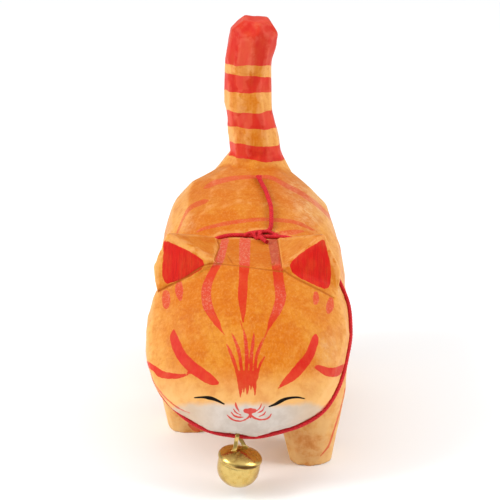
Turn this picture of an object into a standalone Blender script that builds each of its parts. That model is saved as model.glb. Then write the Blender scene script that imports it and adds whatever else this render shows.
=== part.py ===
"""A small hand-carved wooden cat, walking with its tail up, with a red cord
round its neck and a hollow brass jingle bell under its chin.

The cat faces -Y and stands on Z = 0. Sizes below are in millimetres and are
turned into metres when a mesh is made. The wood starts as a rounded blank
(lofted body, head dome, legs and tail fused together), is then pared into
flat knife facets, and last gets its crisp cuts: the flat crown between the
ears, the two ears, the cord groove and the flat soles.
"""

import math

import bmesh
import bpy
import numpy as np
from mathutils import Vector
from mathutils.bvhtree import BVHTree

MM = 0.001

# ---------------------------------------------------------------- driving sizes

# Plane of the collar: centre, lean back of its upward axis, turn to the cat's right
COLLAR_CENTRE = (0.1, -11.5, 37.4)
COLLAR_LEAN = 46.4
COLLAR_TURN = -6.0

# Head dome, in front of the collar plane
HEAD_FORWARD = 3.0        # its widest section lies this far in front of the collar
HEAD_SHIFT = -0.7           # and this far to the cat's right
HEAD_HALF_WIDTH = 27.9
HEAD_HALF_HEIGHT = 29.9
HEAD_DEPTH_FRONT = 11.8
HEAD_DEPTH_BACK = 8.0
HEAD_SQUARENESS = 2.05

# Body sections, from the neck to the rump:
# centre X, Y, Z, lean, turn, half width, half height
BODY_SECTIONS = (
    (0.1, -11.5, 37.4, 46.0, -6.0, 27.9, 29.3),
    (0.3, -2.0, 36.7, 34.0, -4.0, 27.6, 28.0),
    (0.3, 9.0, 38.5, 22.0, -2.5, 27.1, 26.5),
    (0.5, 20.0, 39.8, 12.0, -1.0, 27.2, 26.2),
    (0.2, 31.0, 41.0, 5.0, 0.0, 26.6, 25.6),
    (-0.1, 42.0, 42.3, -3.0, 0.0, 25.9, 25.2),
    (-0.8, 51.0, 44.5, -12.0, 0.0, 23.4, 22.8),
    (-1.0, 58.0, 46.5, -20.0, 0.0, 17.3, 17.5),
    (-0.8, 62.5, 48.0, -24.0, 0.0, 9.0, 9.5),
)
BODY_SQUARENESS = 2.35

# Legs: foot centre (X, Y), the centre where the leg runs into the body, extra half width
LEGS = (
    ("left_front", (17.0, -11.6), (16.2, -9.0), 0.6),
    ("right_front", (-17.7, 8.6), (-15.8, 7.0), 1.1),
    ("left_hind", (16.8, 42.0), (15.0, 39.0), 0.6),
    ("right_hind", (-17.0, 37.0), (-15.0, 36.0), 0.6),
)
# height, half width, half depth of a leg
LEG_PROFILE = (
    (-3.0, 5.3, 6.6),
    (1.0, 5.6, 7.0),
    (5.0, 6.3, 7.4),
    (10.0, 7.4, 8.3),
    (16.0, 9.0, 9.8),
    (24.0, 10.4, 11.4),
    (32.0, 10.4, 11.4),
)

# Tail: height, centre X, centre Y, radius
TAIL_PROFILE = (
    (52.0, -0.2, 46.0, 16.5),
    (59.0, 0.2, 47.8, 14.8),
    (63.5, 0.6, 49.7, 12.2),
    (67.0, 1.4, 51.2, 9.3),
    (71.0, 1.9, 51.4, 7.5),
    (76.0, 1.2, 51.7, 7.3),
    (80.0, 0.0, 52.0, 7.7),
    (84.0, -0.5, 52.4, 7.3),
    (90.0, -0.7, 52.8, 7.0),
    (96.0, -0.5, 53.0, 7.0),
    (101.0, 0.1, 52.7, 7.3),
    (105.5, 0.9, 52.3, 7.6),
    (108.8, 1.2, 52.0, 6.4),
    (111.2, 1.3, 51.8, 3.8),
)

# Long facets of the tail: their edges round it, in degrees from the front
# towards the cat's left, and the heights where each strip has a break
TAIL_EDGES = (-90.0, -47.0, -19.5, 30.0, 66.0, 105.0, 145.0, 186.0, 228.0)
TAIL_BREAKS = (
    (80.0, 92.0, 105.5),
    (78.5, 96.0, 104.5),
    (73.0, 87.0, 106.0),
    (76.0, 90.0, 104.0),
    (82.0, 99.0, 106.5),
    (75.0, 91.0, 105.0),
    (84.0, 97.0, 106.0),
    (77.0, 88.0, 104.0),
    (81.0, 95.0, 105.0),
)
TAIL_TOP = 109.9

# Crown: a flat cut across the head between the ears, falling a little forwards
CROWN_LEFT, CROWN_RIGHT = (-9.2, 58.3), (8.0, 57.9)      # X and height at the collar
CROWN_FALL = 0.05                                        # per millimetre forwards
CROWN_RISE = (14.0, 6.4)                                 # run and rise beyond the ears' feet

# Ear corners: tip, inner front, inner rear, outer rear, widest point, outer foot
# at the front and the rear, middle of the front foot, two corners inside the head
RIGHT_EAR = (
    (-22.8, -4.5, 64.8),
    (-9.4, -9.2, 58.9),
    (-9.8, 9.0, 58.6),
    (-19.8, 6.2, 60.6),
    (-26.7, -6.6, 55.6),
    (-25.8, -8.9, 49.3),
    (-24.3, 3.0, 48.5),
    (-17.6, -10.1, 53.8),
    (-12.0, -7.0, 48.0),
    (-12.0, 5.0, 48.0),
)
LEFT_EAR = (
    (20.5, -6.0, 65.1),
    (8.3, -11.6, 57.2),
    (8.3, 8.0, 58.4),
    (18.2, 4.6, 60.9),
    (25.0, -8.6, 55.2),
    (24.0, -11.2, 47.6),
    (23.8, 1.0, 48.5),
    (16.2, -12.4, 51.6),
    (11.0, -8.0, 48.0),
    (11.0, 4.0, 48.0),
)

# Paring: size of the knife facets, how strongly they follow the curvature
BLANK_VOXEL = 1.15
BLANK_SMOOTHING = 7
FACET_BODY = 9.5
FACET_HEAD = 8.2
FACET_TURN_WEIGHT = 7.0
FACET_MOST_CUT = 1.2
FACET_FIT = (0.95, 1.1)        # body, head: how far a facet may leave the blank
STRAY = 0.22                    # a point further than this off its planes is evened out
FACET_HOLD = 0.08
FACET_PASSES = 6
EDGE_PASSES = 8
EDGE_REACH = 0.55
WOOD_TRIANGLES = 3700
SEED = 11

# Cord and its groove
CORD_DIAMETER = 1.2
TOUCH_GAP = 0.3
CORD_PROUD = 0.15          # how far the cord's centre stands out of the wood
CORD_STEPS = 72
CORD_SIDES = 8

# Knot at the nape, and the free end along the back: X and Y of its route
KNOT_X = 3.0
FREE_END_ROUTE = (
    (7.2, 11.9),
    (6.4, 12.9),
    (6.1, 15.0),
    (6.1, 19.0),
    (6.1, 23.5),
    (5.7, 27.5),
    (4.7, 31.3),
    (3.5, 34.5),
    (2.3, 37.3),
)
FREE_END_POINTS = 14

# Bell
BELL_CENTRE = (-2.65, -33.1, 11.1)       # centre of its rim
BELL_TILT = 9.0
BELL_WALL = 0.4
BELL_SIDES = 40
BELL_OUTER = (
    (0.0, 2.75), (1.3, 2.62), (2.6, 2.2), (4.0, 1.45), (5.3, 0.62), (5.9, 0.2),
    (6.0, -0.1), (5.85, -0.45), (5.5, -0.85), (5.5, -1.3), (5.72, -2.3),
    (5.8, -3.6), (5.62, -5.1), (5.0, -6.6), (3.9, -7.9), (2.4, -8.8),
    (1.1, -9.15), (0.0, -9.25),
)
SLIT_WIDTH = 0.9
SLIT_REACH = 4.4
STRAP_WIDTH, STRAP_THICK = 1.25, 0.4
CHIN_POCKET = 2.5


# ---------------------------------------------------------------- small helpers


def clear_scene():
    for obj in list(bpy.data.objects):
        bpy.data.objects.remove(obj, do_unlink=True)


def rad(degrees):
    return math.radians(degrees)


def material(name, colour, roughness, metallic=0.0):
    made = bpy.data.materials.new(name)
    made.use_nodes = True
    shader = made.node_tree.nodes["Principled BSDF"]
    shader.inputs["Base Color"].default_value = (*colour, 1.0)
    shader.inputs["Roughness"].default_value = roughness
    shader.inputs["Metallic"].default_value = metallic
    made.diffuse_color = (*colour, 1.0)
    return made


def add_object(name, points, faces, helper=False):
    """A mesh object from points in millimetres, with its faces turned outwards."""
    mesh = bpy.data.meshes.new(name)
    mesh.from_pydata([tuple(float(v) * MM for v in p) for p in points], [], faces)
    made = bmesh.new()
    made.from_mesh(mesh)
    bmesh.ops.recalc_face_normals(made, faces=made.faces)
    made.to_mesh(mesh)
    made.free()
    obj = bpy.data.objects.new(name, mesh)
    bpy.context.scene.collection.objects.link(obj)
    if helper:
        hide_helper(obj)
    return obj


def hide_helper(obj):
    obj.hide_render = True
    obj.display_type = "WIRE"


def evaluated_copy(obj):
    """A plain mesh of the object with its modifiers applied."""
    bpy.context.view_layer.update()
    graph = bpy.context.evaluated_depsgraph_get()
    return bpy.data.meshes.new_from_object(obj.evaluated_get(graph))


def mesh_arrays(mesh):
    """Points in millimetres, and triangles."""
    mesh.calc_loop_triangles()
    points = np.empty(len(mesh.vertices) * 3)
    mesh.vertices.foreach_get("co", points)
    faces = np.empty(len(mesh.loop_triangles) * 3, dtype=np.int64)
    mesh.loop_triangles.foreach_get("vertices", faces)
    return points.reshape(-1, 3) / MM, faces.reshape(-1, 3)


def section_axes(lean, turn):
    """Rightward, upward and forward axes of a section that leans back and turns."""
    lean, turn = rad(lean), rad(turn)
    spin = np.array(
        [
            [math.cos(turn), -math.sin(turn), 0.0],
            [math.sin(turn), math.cos(turn), 0.0],
            [0.0, 0.0, 1.0],
        ]
    )
    right = spin @ np.array([1.0, 0.0, 0.0])
    up = spin @ np.array([0.0, math.sin(lean), math.cos(lean)])
    forward = spin @ np.array([0.0, -math.cos(lean), math.sin(lean)])
    return right, up, forward


def rounded_ring(centre, right, up, half_width, half_height, squareness, count):
    """Points of a superellipse."""
    ring = []
    power = 2.0 / squareness
    for k in range(count):
        angle = 2.0 * math.pi * k / count
        c, s = math.cos(angle), math.sin(angle)
        a = half_width * math.copysign(abs(c) ** power, c)
        b = half_height * math.copysign(abs(s) ** power, s)
        ring.append(np.array(centre) + a * np.array(right) + b * np.array(up))
    return ring


def loft(name, rings, helper=True):
    """A closed skin through rings of equal count."""
    count = len(rings[0])
    points = [p for ring in rings for p in ring]
    faces = [tuple(range(count)), tuple(range(len(points) - count, len(points)))]
    for r in range(len(rings) - 1):
        for k in range(count):
            a, b = r * count + k, r * count + (k + 1) % count
            faces.append((a, b, b + count, a + count))
    return add_object(name, points, faces, helper)


def smooth_curve(points, count, closed=False):
    """Evenly spaced points on a Catmull-Rom curve through the given points."""
    pts = [np.array(p, dtype=float) for p in points]
    n = len(pts)
    dense = []
    for i in range(n if closed else n - 1):
        p1, p2 = pts[i], pts[(i + 1) % n]
        p0 = pts[(i - 1) % n] if closed or i > 0 else 2 * p1 - p2
        p3 = pts[(i + 2) % n] if closed or i + 2 < n else 2 * p2 - p1
        for step in range(24):
            t = step / 24.0
            dense.append(
                0.5
                * (
                    2 * p1
                    + (p2 - p0) * t
                    + (2 * p0 - 5 * p1 + 4 * p2 - p3) * t * t
                    + (3 * p1 - p0 - 3 * p2 + p3) * t**3
                )
            )
    dense.append(pts[0] if closed else pts[-1])
    dense = np.array(dense)
    run = np.concatenate([[0.0], np.cumsum(np.linalg.norm(np.diff(dense, axis=0), axis=1))])
    wanted = np.linspace(0.0, run[-1], count + 1 if closed else count)
    if closed:
        wanted = wanted[:-1]
    return np.stack([np.interp(wanted, run, dense[:, k]) for k in range(3)], axis=1)


def tube(name, route, half_width, half_thick=None, closed=False, sides=8, side_hint=None, helper=False):
    """A tube, or a strip if its two half sizes differ, swept along a route."""
    half_thick = half_width if half_thick is None else half_thick
    route = np.array(route, dtype=float)
    n = len(route)
    if closed:
        ahead = np.roll(route, -1, axis=0) - np.roll(route, 1, axis=0)
    else:
        ahead = np.gradient(route, axis=0)
    ahead /= np.linalg.norm(ahead, axis=1)[:, None]
    upright = (0.0, 0.0, 1.0) if abs(ahead[0, 2]) < 0.9 else (1.0, 0.0, 0.0)
    hint = np.array(side_hint if side_hint is not None else upright, dtype=float)
    side = hint - ahead[0] * (hint @ ahead[0])
    side /= np.linalg.norm(side)
    points, faces = [], []
    for i in range(n):
        if side_hint is not None:
            side = hint - ahead[i] * (hint @ ahead[i])
        else:
            side = side - ahead[i] * (side @ ahead[i])
        side /= np.linalg.norm(side)
        other = np.cross(ahead[i], side)
        for k in range(sides):
            angle = 2.0 * math.pi * (k + 0.5) / sides
            points.append(
                route[i]
                + half_width * math.cos(angle) * side
                + half_thick * math.sin(angle) * other
            )
    shift = 0
    if closed:
        # the last ring meets the first at the turn that lines their corners up best
        first = np.array(points[:sides])
        last = np.array(points[-sides:])
        shift = min(
            range(sides),
            key=lambda s: float(np.linalg.norm(last - np.roll(first, -s, axis=0), axis=1).sum()),
        )
    for i in range(n if closed else n - 1):
        nxt = (i + 1) % n
        turn = shift if nxt == 0 and closed else 0
        for k in range(sides):
            a, b = i * sides + k, i * sides + (k + 1) % sides
            c, d = nxt * sides + (k + 1 + turn) % sides, nxt * sides + (k + turn) % sides
            faces.append((a, b, c, d))
    if not closed:
        faces.append(tuple(range(sides)))
        faces.append(tuple(range((n - 1) * sides, n * sides)))
    return add_object(name, points, faces, helper)


def revolve(name, profile, sides, helper=False):
    """A solid of revolution about Z. The profile starts and ends on the axis."""
    points = [(0.0, 0.0, profile[0][1])]
    for radius, height in profile[1:-1]:
        for k in range(sides):
            angle = 2.0 * math.pi * k / sides
            points.append((radius * math.cos(angle), radius * math.sin(angle), height))
    points.append((0.0, 0.0, profile[-1][1]))
    faces = []
    rows = len(profile) - 2
    for k in range(sides):
        faces.append((0, 1 + k, 1 + (k + 1) % sides))
        for r in range(rows - 1):
            a, b = 1 + r * sides + k, 1 + r * sides + (k + 1) % sides
            faces.append((a, a + sides, b + sides, b))
        last = 1 + (rows - 1) * sides
        faces.append((last + k, len(points) - 1, last + (k + 1) % sides))
    return add_object(name, points, faces, helper)


def prism(name, front, rear):
    """A closed solid between two outlines of equal count."""
    n = len(front)
    faces = [tuple(range(n)), tuple(range(n, 2 * n))]
    faces += [(k, (k + 1) % n, n + (k + 1) % n, n + k) for k in range(n)]
    return add_object(name, list(front) + list(rear), faces, helper=True)


def hull(name, corners):
    """The convex solid round some corners."""
    mesh = bpy.data.meshes.new(name)
    made = bmesh.new()
    for corner in corners:
        made.verts.new([float(v) * MM for v in corner])
    result = bmesh.ops.convex_hull(made, input=made.verts)
    loose = {
        item
        for item in result["geom_interior"] + result["geom_unused"]
        if isinstance(item, bmesh.types.BMVert)
    }
    bmesh.ops.delete(made, geom=list(loose), context="VERTS")
    bmesh.ops.recalc_face_normals(made, faces=made.faces)
    made.to_mesh(mesh)
    made.free()
    obj = bpy.data.objects.new(name, mesh)
    bpy.context.scene.collection.objects.link(obj)
    hide_helper(obj)
    return obj


def boolean(obj, other, operation):
    cut = obj.modifiers.new(other.name, "BOOLEAN")
    cut.operation = operation
    cut.object = other
    cut.solver = "EXACT"


# ---------------------------------------------------------------- the wood


def head_dome():
    """A flattened superellipsoid in front of the collar plane."""
    right, up, forward = section_axes(COLLAR_LEAN, COLLAR_TURN)
    centre = np.array(COLLAR_CENTRE) + HEAD_FORWARD * forward + HEAD_SHIFT * right
    made = bmesh.new()
    bmesh.ops.create_icosphere(made, subdivisions=5, radius=1.0)
    for vert in made.verts:
        q = np.array(vert.co)
        q /= (np.abs(q) ** HEAD_SQUARENESS).sum() ** (1.0 / HEAD_SQUARENESS)
        depth = HEAD_DEPTH_FRONT if q[2] > 0 else HEAD_DEPTH_BACK
        place = (
            centre
            + right * HEAD_HALF_WIDTH * q[0]
            + up * HEAD_HALF_HEIGHT * q[1]
            + forward * depth * q[2]
        )
        vert.co = place * MM
    bmesh.ops.recalc_face_normals(made, faces=made.faces)
    mesh = bpy.data.meshes.new("head_dome")
    made.to_mesh(mesh)
    made.free()
    obj = bpy.data.objects.new("head_dome", mesh)
    bpy.context.scene.collection.objects.link(obj)
    hide_helper(obj)
    return obj


def wood_blank():
    """Body, head, legs and tail fused into one smooth block."""
    pieces = [head_dome()]
    rings = []
    for x, y, z, lean, turn, half_width, half_height in BODY_SECTIONS:
        right, up, _ = section_axes(lean, turn)
        rings.append(
            rounded_ring((x, y, z), right, up, half_width, half_height, BODY_SQUARENESS, 64)
        )
    pieces.append(loft("body_loft", rings))
    for name, foot, top, extra in LEGS:
        rings = []
        for height, half_width, half_depth in LEG_PROFILE:
            share = min(max(height / LEG_PROFILE[-1][0], 0.0), 1.0)
            share = share * share * (3 - 2 * share)
            x = foot[0] + (top[0] - foot[0]) * share
            y = foot[1] + (top[1] - foot[1]) * share
            rings.append(
                rounded_ring(
                    (x, y, height), (1, 0, 0), (0, 1, 0), half_width + extra, half_depth, 2.8, 28
                )
            )
        pieces.append(loft(name, rings))
    rings = [
        rounded_ring((x, y, z), (1, 0, 0), (0, 1, 0), radius, radius, 2.1, 32)
        for z, x, y, radius in TAIL_PROFILE
    ]
    pieces.append(loft("tail_loft", rings))

    joined = bmesh.new()
    for piece in pieces:
        joined.from_mesh(piece.data)
        bpy.data.objects.remove(piece, do_unlink=True)
    mesh = bpy.data.meshes.new("blank")
    joined.to_mesh(mesh)
    joined.free()
    blank = bpy.data.objects.new("blank", mesh)
    bpy.context.scene.collection.objects.link(blank)
    remesh = blank.modifiers.new("fuse", "REMESH")
    remesh.mode = "VOXEL"
    remesh.voxel_size = BLANK_VOXEL * MM
    smooth = blank.modifiers.new("round", "SMOOTH")
    smooth.factor = 0.5
    smooth.iterations = BLANK_SMOOTHING
    result = evaluated_copy(blank)
    bpy.data.objects.remove(blank, do_unlink=True)
    return result


def facet_labels(centres, normals, areas, size, stretch, fit, rng):
    """Groups faces into patches of about the given size that follow the curvature.

    A patch that a plane fits badly gets another seed at its worst spot.
    """
    count = max(4, int(round(areas.sum() / size**2)))
    space = centres * np.array(stretch) / size
    features = np.hstack([space, normals * math.sqrt(FACET_TURN_WEIGHT)])
    seeds = rng.choice(len(features), count, replace=False, p=areas / areas.sum())
    middles = features[seeds]
    labels = np.zeros(len(features), dtype=np.int64)
    for step in range(24):
        far = (
            (features**2).sum(1)[:, None]
            + (middles**2).sum(1)[None, :]
            - 2.0 * features @ middles.T
        )
        labels = far.argmin(1)
        for k in range(len(middles)):
            own = labels == k
            if own.any():
                middles[k] = np.average(features[own], axis=0, weights=areas[own])
        if step in (8, 12, 16, 20):
            point, normal = planes_of(labels, len(middles), centres, normals, areas)
            off = np.abs(((centres - point[labels]) * normal[labels]).sum(1))
            worst = [
                int(np.flatnonzero(labels == k)[off[labels == k].argmax()])
                for k in range(len(middles))
                if (labels == k).any() and off[labels == k].max() > fit
            ]
            if worst:
                middles = np.vstack([middles, features[worst]])
    return labels, len(middles)


def tail_labels(centres):
    """Long strips up the tail, each with its own breaks, and one cut at the tip."""
    heights = [row[0] for row in TAIL_PROFILE]
    x = centres[:, 0] - np.interp(centres[:, 2], heights, [row[1] for row in TAIL_PROFILE])
    y = centres[:, 1] - np.interp(centres[:, 2], heights, [row[2] for row in TAIL_PROFILE])
    turn = (np.degrees(np.arctan2(x, -y)) - TAIL_EDGES[0]) % 360.0 + TAIL_EDGES[0]
    strip = np.searchsorted(np.array(TAIL_EDGES), turn, side="right") - 1
    level = np.zeros(len(centres), dtype=np.int64)
    for k, breaks in enumerate(TAIL_BREAKS):
        own = strip == k
        level[own] = np.searchsorted(np.array(breaks), centres[own, 2])
    most = len(TAIL_BREAKS[0])
    # above the last break the strips merge in pairs, under one flat top
    strip = np.where(level == most, strip // 2 * 2, strip)
    labels = strip * (most + 1) + level
    labels[centres[:, 2] > TAIL_TOP] = len(TAIL_BREAKS) * (most + 1)
    return labels, len(TAIL_BREAKS) * (most + 1) + 1


def planes_of(labels, count, centres, normals, areas):
    """The middle and the normal of each facet."""
    normal = np.zeros((count, 3))
    point = np.zeros((count, 3))
    weight = np.zeros(count)
    np.add.at(normal, labels, normals * areas[:, None])
    np.add.at(point, labels, centres * areas[:, None])
    np.add.at(weight, labels, areas)
    used = weight > 0
    point[used] /= weight[used, None]
    normal[used] /= np.linalg.norm(normal[used], axis=1)[:, None]
    return point, normal


def settle_edges(faces, labels, on_head, centres, point, normal):
    """Moves the borders between facets to where their planes really meet."""
    sides = np.sort(
        np.concatenate([faces[:, [0, 1]], faces[:, [1, 2]], faces[:, [2, 0]]]), axis=1
    )
    owner = np.tile(np.arange(len(faces)), 3)
    order = np.lexsort((sides[:, 1], sides[:, 0]))
    sides, owner = sides[order], owner[order]
    same = (sides[1:] == sides[:-1]).all(1)
    first, second = owner[:-1][same], owner[1:][same]
    allowed = on_head[first] == on_head[second]
    first, second = first[allowed], second[allowed]
    first, second = np.concatenate([first, second]), np.concatenate([second, first])
    for _ in range(EDGE_PASSES):
        a, b = labels[first], labels[second]
        border = a != b
        f, a, b = first[border], a[border], b[border]
        high_a = ((centres[f] - point[a]) * normal[a]).sum(1)
        high_b = ((centres[f] - point[b]) * normal[b]).sum(1)
        apart = point[b] - point[a]
        convex = (apart * (normal[b] - normal[a])).sum(1) > 0
        better = convex & (high_b > high_a + 0.004) & (np.abs(high_b) < EDGE_REACH)
        labels = labels.copy()
        labels[f[better]] = b[better]
    return labels


def pare(mesh):
    """Moves the points of the blank onto the planes of its knife facets."""
    points, faces = mesh_arrays(mesh)
    corners = points[faces]
    cross = np.cross(corners[:, 1] - corners[:, 0], corners[:, 2] - corners[:, 0])
    areas = np.linalg.norm(cross, axis=1) / 2 + 1e-12
    normals = cross / (2 * areas[:, None])
    centres = corners.mean(1)
    _, _, forward = section_axes(COLLAR_LEAN, COLLAR_TURN)
    on_head = (centres - np.array(COLLAR_CENTRE)) @ forward > 0.4
    on_tail = (centres[:, 2] > 70.0) & (centres[:, 1] > 38.0) & ~on_head
    rng = np.random.default_rng(SEED)
    labels = np.zeros(len(faces), dtype=np.int64)
    start = 0
    for where, size, stretch, fit in (
        (on_head, FACET_HEAD, (1.0, 1.0, 1.0), FACET_FIT[1]),
        (on_tail, 0.0, None, None),
        (~(on_head | on_tail), FACET_BODY, (1.0, 1.0, 0.85), FACET_FIT[0]),
    ):
        if stretch is None:
            own, count = tail_labels(centres[where])
        else:
            own, count = facet_labels(
                centres[where], normals[where], areas[where], size, stretch, fit, rng
            )
        labels[where] = own + start
        start += count
    plane_point, plane_normal = planes_of(labels, start, centres, normals, areas)
    labels = settle_edges(faces, labels, on_head, centres, plane_point, plane_normal)

    pairs = np.unique(faces.reshape(-1) * start + np.repeat(labels, 3))
    vertex, label = pairs // start, pairs % start
    n, p = plane_normal[label], plane_point[label]
    matrix = np.zeros((len(points), 3, 3))
    np.add.at(matrix, vertex, n[:, :, None] * n[:, None, :])
    vector = np.zeros((len(points), 3))
    np.add.at(vector, vertex, n * (n * p).sum(1)[:, None])
    planes_met = np.bincount(vertex, minlength=len(points))
    hold = np.where(planes_met > 1, FACET_HOLD, 0.002)
    matrix += hold[:, None, None] * np.eye(3)

    ends = np.unique(
        np.sort(np.concatenate([faces[:, [0, 1]], faces[:, [1, 2]], faces[:, [2, 0]]]), axis=1),
        axis=0,
    )
    ends = np.concatenate([ends, ends[:, ::-1]])
    valence = np.bincount(ends[:, 0], minlength=len(points))[:, None]
    start_points = points.copy()
    for _ in range(FACET_PASSES):
        # even out the points, then bring them back onto their planes
        around = np.zeros_like(points)
        np.add.at(around, ends[:, 0], points[ends[:, 1]])
        relaxed = 0.45 * points + 0.55 * around / valence
        wanted = vector + hold[:, None] * relaxed
        points = np.linalg.solve(matrix, wanted[:, :, None])[:, :, 0]
        step = points - start_points
        length = np.linalg.norm(step, axis=1)
        step *= np.minimum(1.0, FACET_MOST_CUT / np.maximum(length, 1e-9))[:, None]
        points = start_points + step
    # points that could not reach their planes, and those next to them, are evened out
    reach = np.abs(((points[vertex] - p) * n).sum(1))
    stray = np.zeros(len(points))
    np.maximum.at(stray, vertex, reach)
    stray = stray > STRAY
    for _ in range(2):
        near = np.zeros(len(points), dtype=bool)
        near[ends[stray[ends[:, 1]], 0]] = True
        stray |= near
    for _ in range(14):
        around = np.zeros_like(points)
        np.add.at(around, ends[:, 0], points[ends[:, 1]])
        points = np.where(stray[:, None], 0.4 * points + 0.6 * around / valence, points)
    return points, faces


def untangle(made):
    """Smooths the few spots where faces of the mesh pass through each other."""
    for _ in range(40):
        made.faces.ensure_lookup_table()
        tree = BVHTree.FromBMesh(made, epsilon=0.0)
        tangled = set()
        for a, b in tree.overlap(tree):
            first, second = set(made.faces[a].verts), set(made.faces[b].verts)
            if a != b and not first & second:
                tangled |= first | second
        if not tangled:
            return
        tangled |= {e.other_vert(v) for v in tangled for e in v.link_edges}
        bmesh.ops.smooth_vert(
            made, verts=list(tangled), factor=0.5, use_axis_x=True, use_axis_y=True, use_axis_z=True
        )


def carve_cat():
    points, faces = pare(wood_blank())
    wood = add_object("pared_blank", points, [tuple(int(v) for v in f) for f in faces])
    made = bmesh.new()
    made.from_mesh(wood.data)
    untangle(made)
    made.to_mesh(wood.data)
    made.free()
    thin = wood.modifiers.new("pare_flat", "DECIMATE")
    thin.ratio = WOOD_TRIANGLES / len(faces)
    made = bmesh.new()
    pared = evaluated_copy(wood)
    made.from_mesh(pared)
    bpy.data.objects.remove(wood, do_unlink=True)
    untangle(made)
    bmesh.ops.bisect_plane(
        made,
        geom=made.verts[:] + made.edges[:] + made.faces[:],
        plane_co=(0, 0, 0),
        plane_no=(0, 0, 1),
        clear_inner=True,
    )
    open_edges = [edge for edge in made.edges if edge.is_boundary]
    bmesh.ops.holes_fill(made, edges=open_edges, sides=0)
    bmesh.ops.recalc_face_normals(made, faces=made.faces)
    bmesh.ops.triangulate(made, faces=[f for f in made.faces if len(f.verts) > 4])
    mesh = bpy.data.meshes.new("carved_cat")
    made.to_mesh(mesh)
    made.free()
    cat = bpy.data.objects.new("carved_cat", mesh)
    bpy.context.scene.collection.objects.link(cat)

    # the flat crown, as far back as the collar plane
    run, rise = CROWN_RISE
    (x_left, z_left), (x_right, z_right) = CROWN_LEFT, CROWN_RIGHT
    outline = (
        (x_left - run, z_left + rise),
        (x_left - 0.1, z_left + 0.6),
        (x_left, z_left),
        (x_right, z_right),
        (x_right + 0.1, z_right + 0.6),
        (x_right + run, z_right + rise),
        (x_right + run, z_right + 20.0),
        (x_left - run, z_left + 20.0),
    )
    right, up, _ = section_axes(COLLAR_LEAN, COLLAR_TURN)

    def collar_y(x, z):
        """Where the collar plane stands at this X and height."""
        b = (z - COLLAR_CENTRE[2]) / up[2]
        a = (x - COLLAR_CENTRE[0] - b * up[0]) / right[0]
        return COLLAR_CENTRE[1] + a * right[1] + b * up[1]

    front = []
    for x, z in outline:
        reach = collar_y(x, z) + 25.0
        front.append((x, -25.0, z - CROWN_FALL * reach))
    crown = prism("crown_cut", front, [(x, collar_y(x, z) + 0.2, z) for x, z in outline])
    boolean(cat, crown, "DIFFERENCE")
    boolean(cat, hull("ear_block_right", RIGHT_EAR), "UNION")
    boolean(cat, hull("ear_block_left", LEFT_EAR), "UNION")
    return cat


def collar_route(cat):
    """The cord's closed route: where the collar plane meets the wood."""
    mesh = evaluated_copy(cat)
    tree = BVHTree.FromPolygons(
        [v.co / MM for v in mesh.vertices], [tuple(p.vertices) for p in mesh.polygons]
    )
    right, up, _ = section_axes(COLLAR_LEAN, COLLAR_TURN)
    centre = np.array(COLLAR_CENTRE)
    count = 180
    reach = []
    for k in range(count):
        angle = 2 * math.pi * k / count
        way = right * math.cos(angle) + up * math.sin(angle)
        # from outside inwards, so that the outermost wood counts
        hit = tree.ray_cast(Vector(centre + way * 60.0), Vector(-way))
        reach.append(float((np.array(hit[0]) - centre) @ way))
    reach = np.array(reach)
    window = np.hanning(13)[1:-1]
    window /= window.sum()
    half = len(window) // 2
    wrapped = np.concatenate([reach[-half:], reach, reach[:half]])
    reach = np.convolve(wrapped, window, mode="valid") + CORD_PROUD
    angles = np.arange(count) * 2 * math.pi / count
    route = [centre + (right * math.cos(a) + up * math.sin(a)) * r for a, r in zip(angles, reach)]
    return smooth_curve(route, CORD_STEPS, closed=True), tree


def groove(cat, route):
    cutter = tube(
        "groove_cut", route, CORD_DIAMETER / 2 + TOUCH_GAP, closed=True, sides=8, helper=True
    )
    boolean(cat, cutter, "DIFFERENCE")


def chin_pocket(cat, place):
    """A nick behind the cord that the bell's strap passes through."""
    made = bmesh.new()
    bmesh.ops.create_uvsphere(made, u_segments=12, v_segments=8, radius=CHIN_POCKET * MM)
    mesh = bpy.data.meshes.new("chin_pocket")
    made.to_mesh(mesh)
    made.free()
    cutter = bpy.data.objects.new("chin_pocket", mesh)
    bpy.context.scene.collection.objects.link(cutter)
    cutter.location = [float(v) * MM for v in place]
    hide_helper(cutter)
    boolean(cat, cutter, "DIFFERENCE")


# ---------------------------------------------------------------- cord and bell


def knot_strands(route):
    """The knot's place at the nape, and its strands: name, route, half width, closed."""
    radius = CORD_DIAMETER / 2
    nape = route[np.argmin(np.abs(route[:, 0] - KNOT_X) + 100.0 * (route[:, 2] < 50.0))]
    x, y, z = nape
    # one turn round the cord, the strand that lies across it, and the short cut end
    turn = []
    for k in range(20):
        angle = 2 * math.pi * k / 20
        c, s = math.cos(angle), math.sin(angle)
        turn.append((x + 0.25 * c, y + 1.0 * c, z + 0.35 + 1.0 * s))
    across = smooth_curve(
        [
            (x - 4.6, y - 0.1, z + 0.25),
            (x - 3.0, y + 0.5, z + 0.75),
            (x - 1.2, y + 0.6, z + 1.05),
            (x + 0.6, y + 0.8, z + 1.15),
            (x + 2.4, y + 1.1, z + 1.0),
            (x + 3.9, y + 0.6, z + 0.45),
            (x + 5.2, y - 0.1, z + 0.1),
        ],
        16,
    )
    short_end = smooth_curve(
        [
            (x - 2.4, y + 0.9, z + 0.9),
            (x - 1.5, y + 0.3, z + 1.9),
            (x - 0.5, y - 0.9, z + 2.0),
            (x + 0.4, y - 2.4, z + 1.45),
            (x + 1.1, y - 4.0, z + 1.05),
        ],
        10,
    )
    strands = (
        ("knot_turn", turn, radius, True),
        ("knot_strand", across, radius * 0.95, False),
        ("short_end", short_end, radius, False),
    )
    return np.array([x, y, z]), strands


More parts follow.
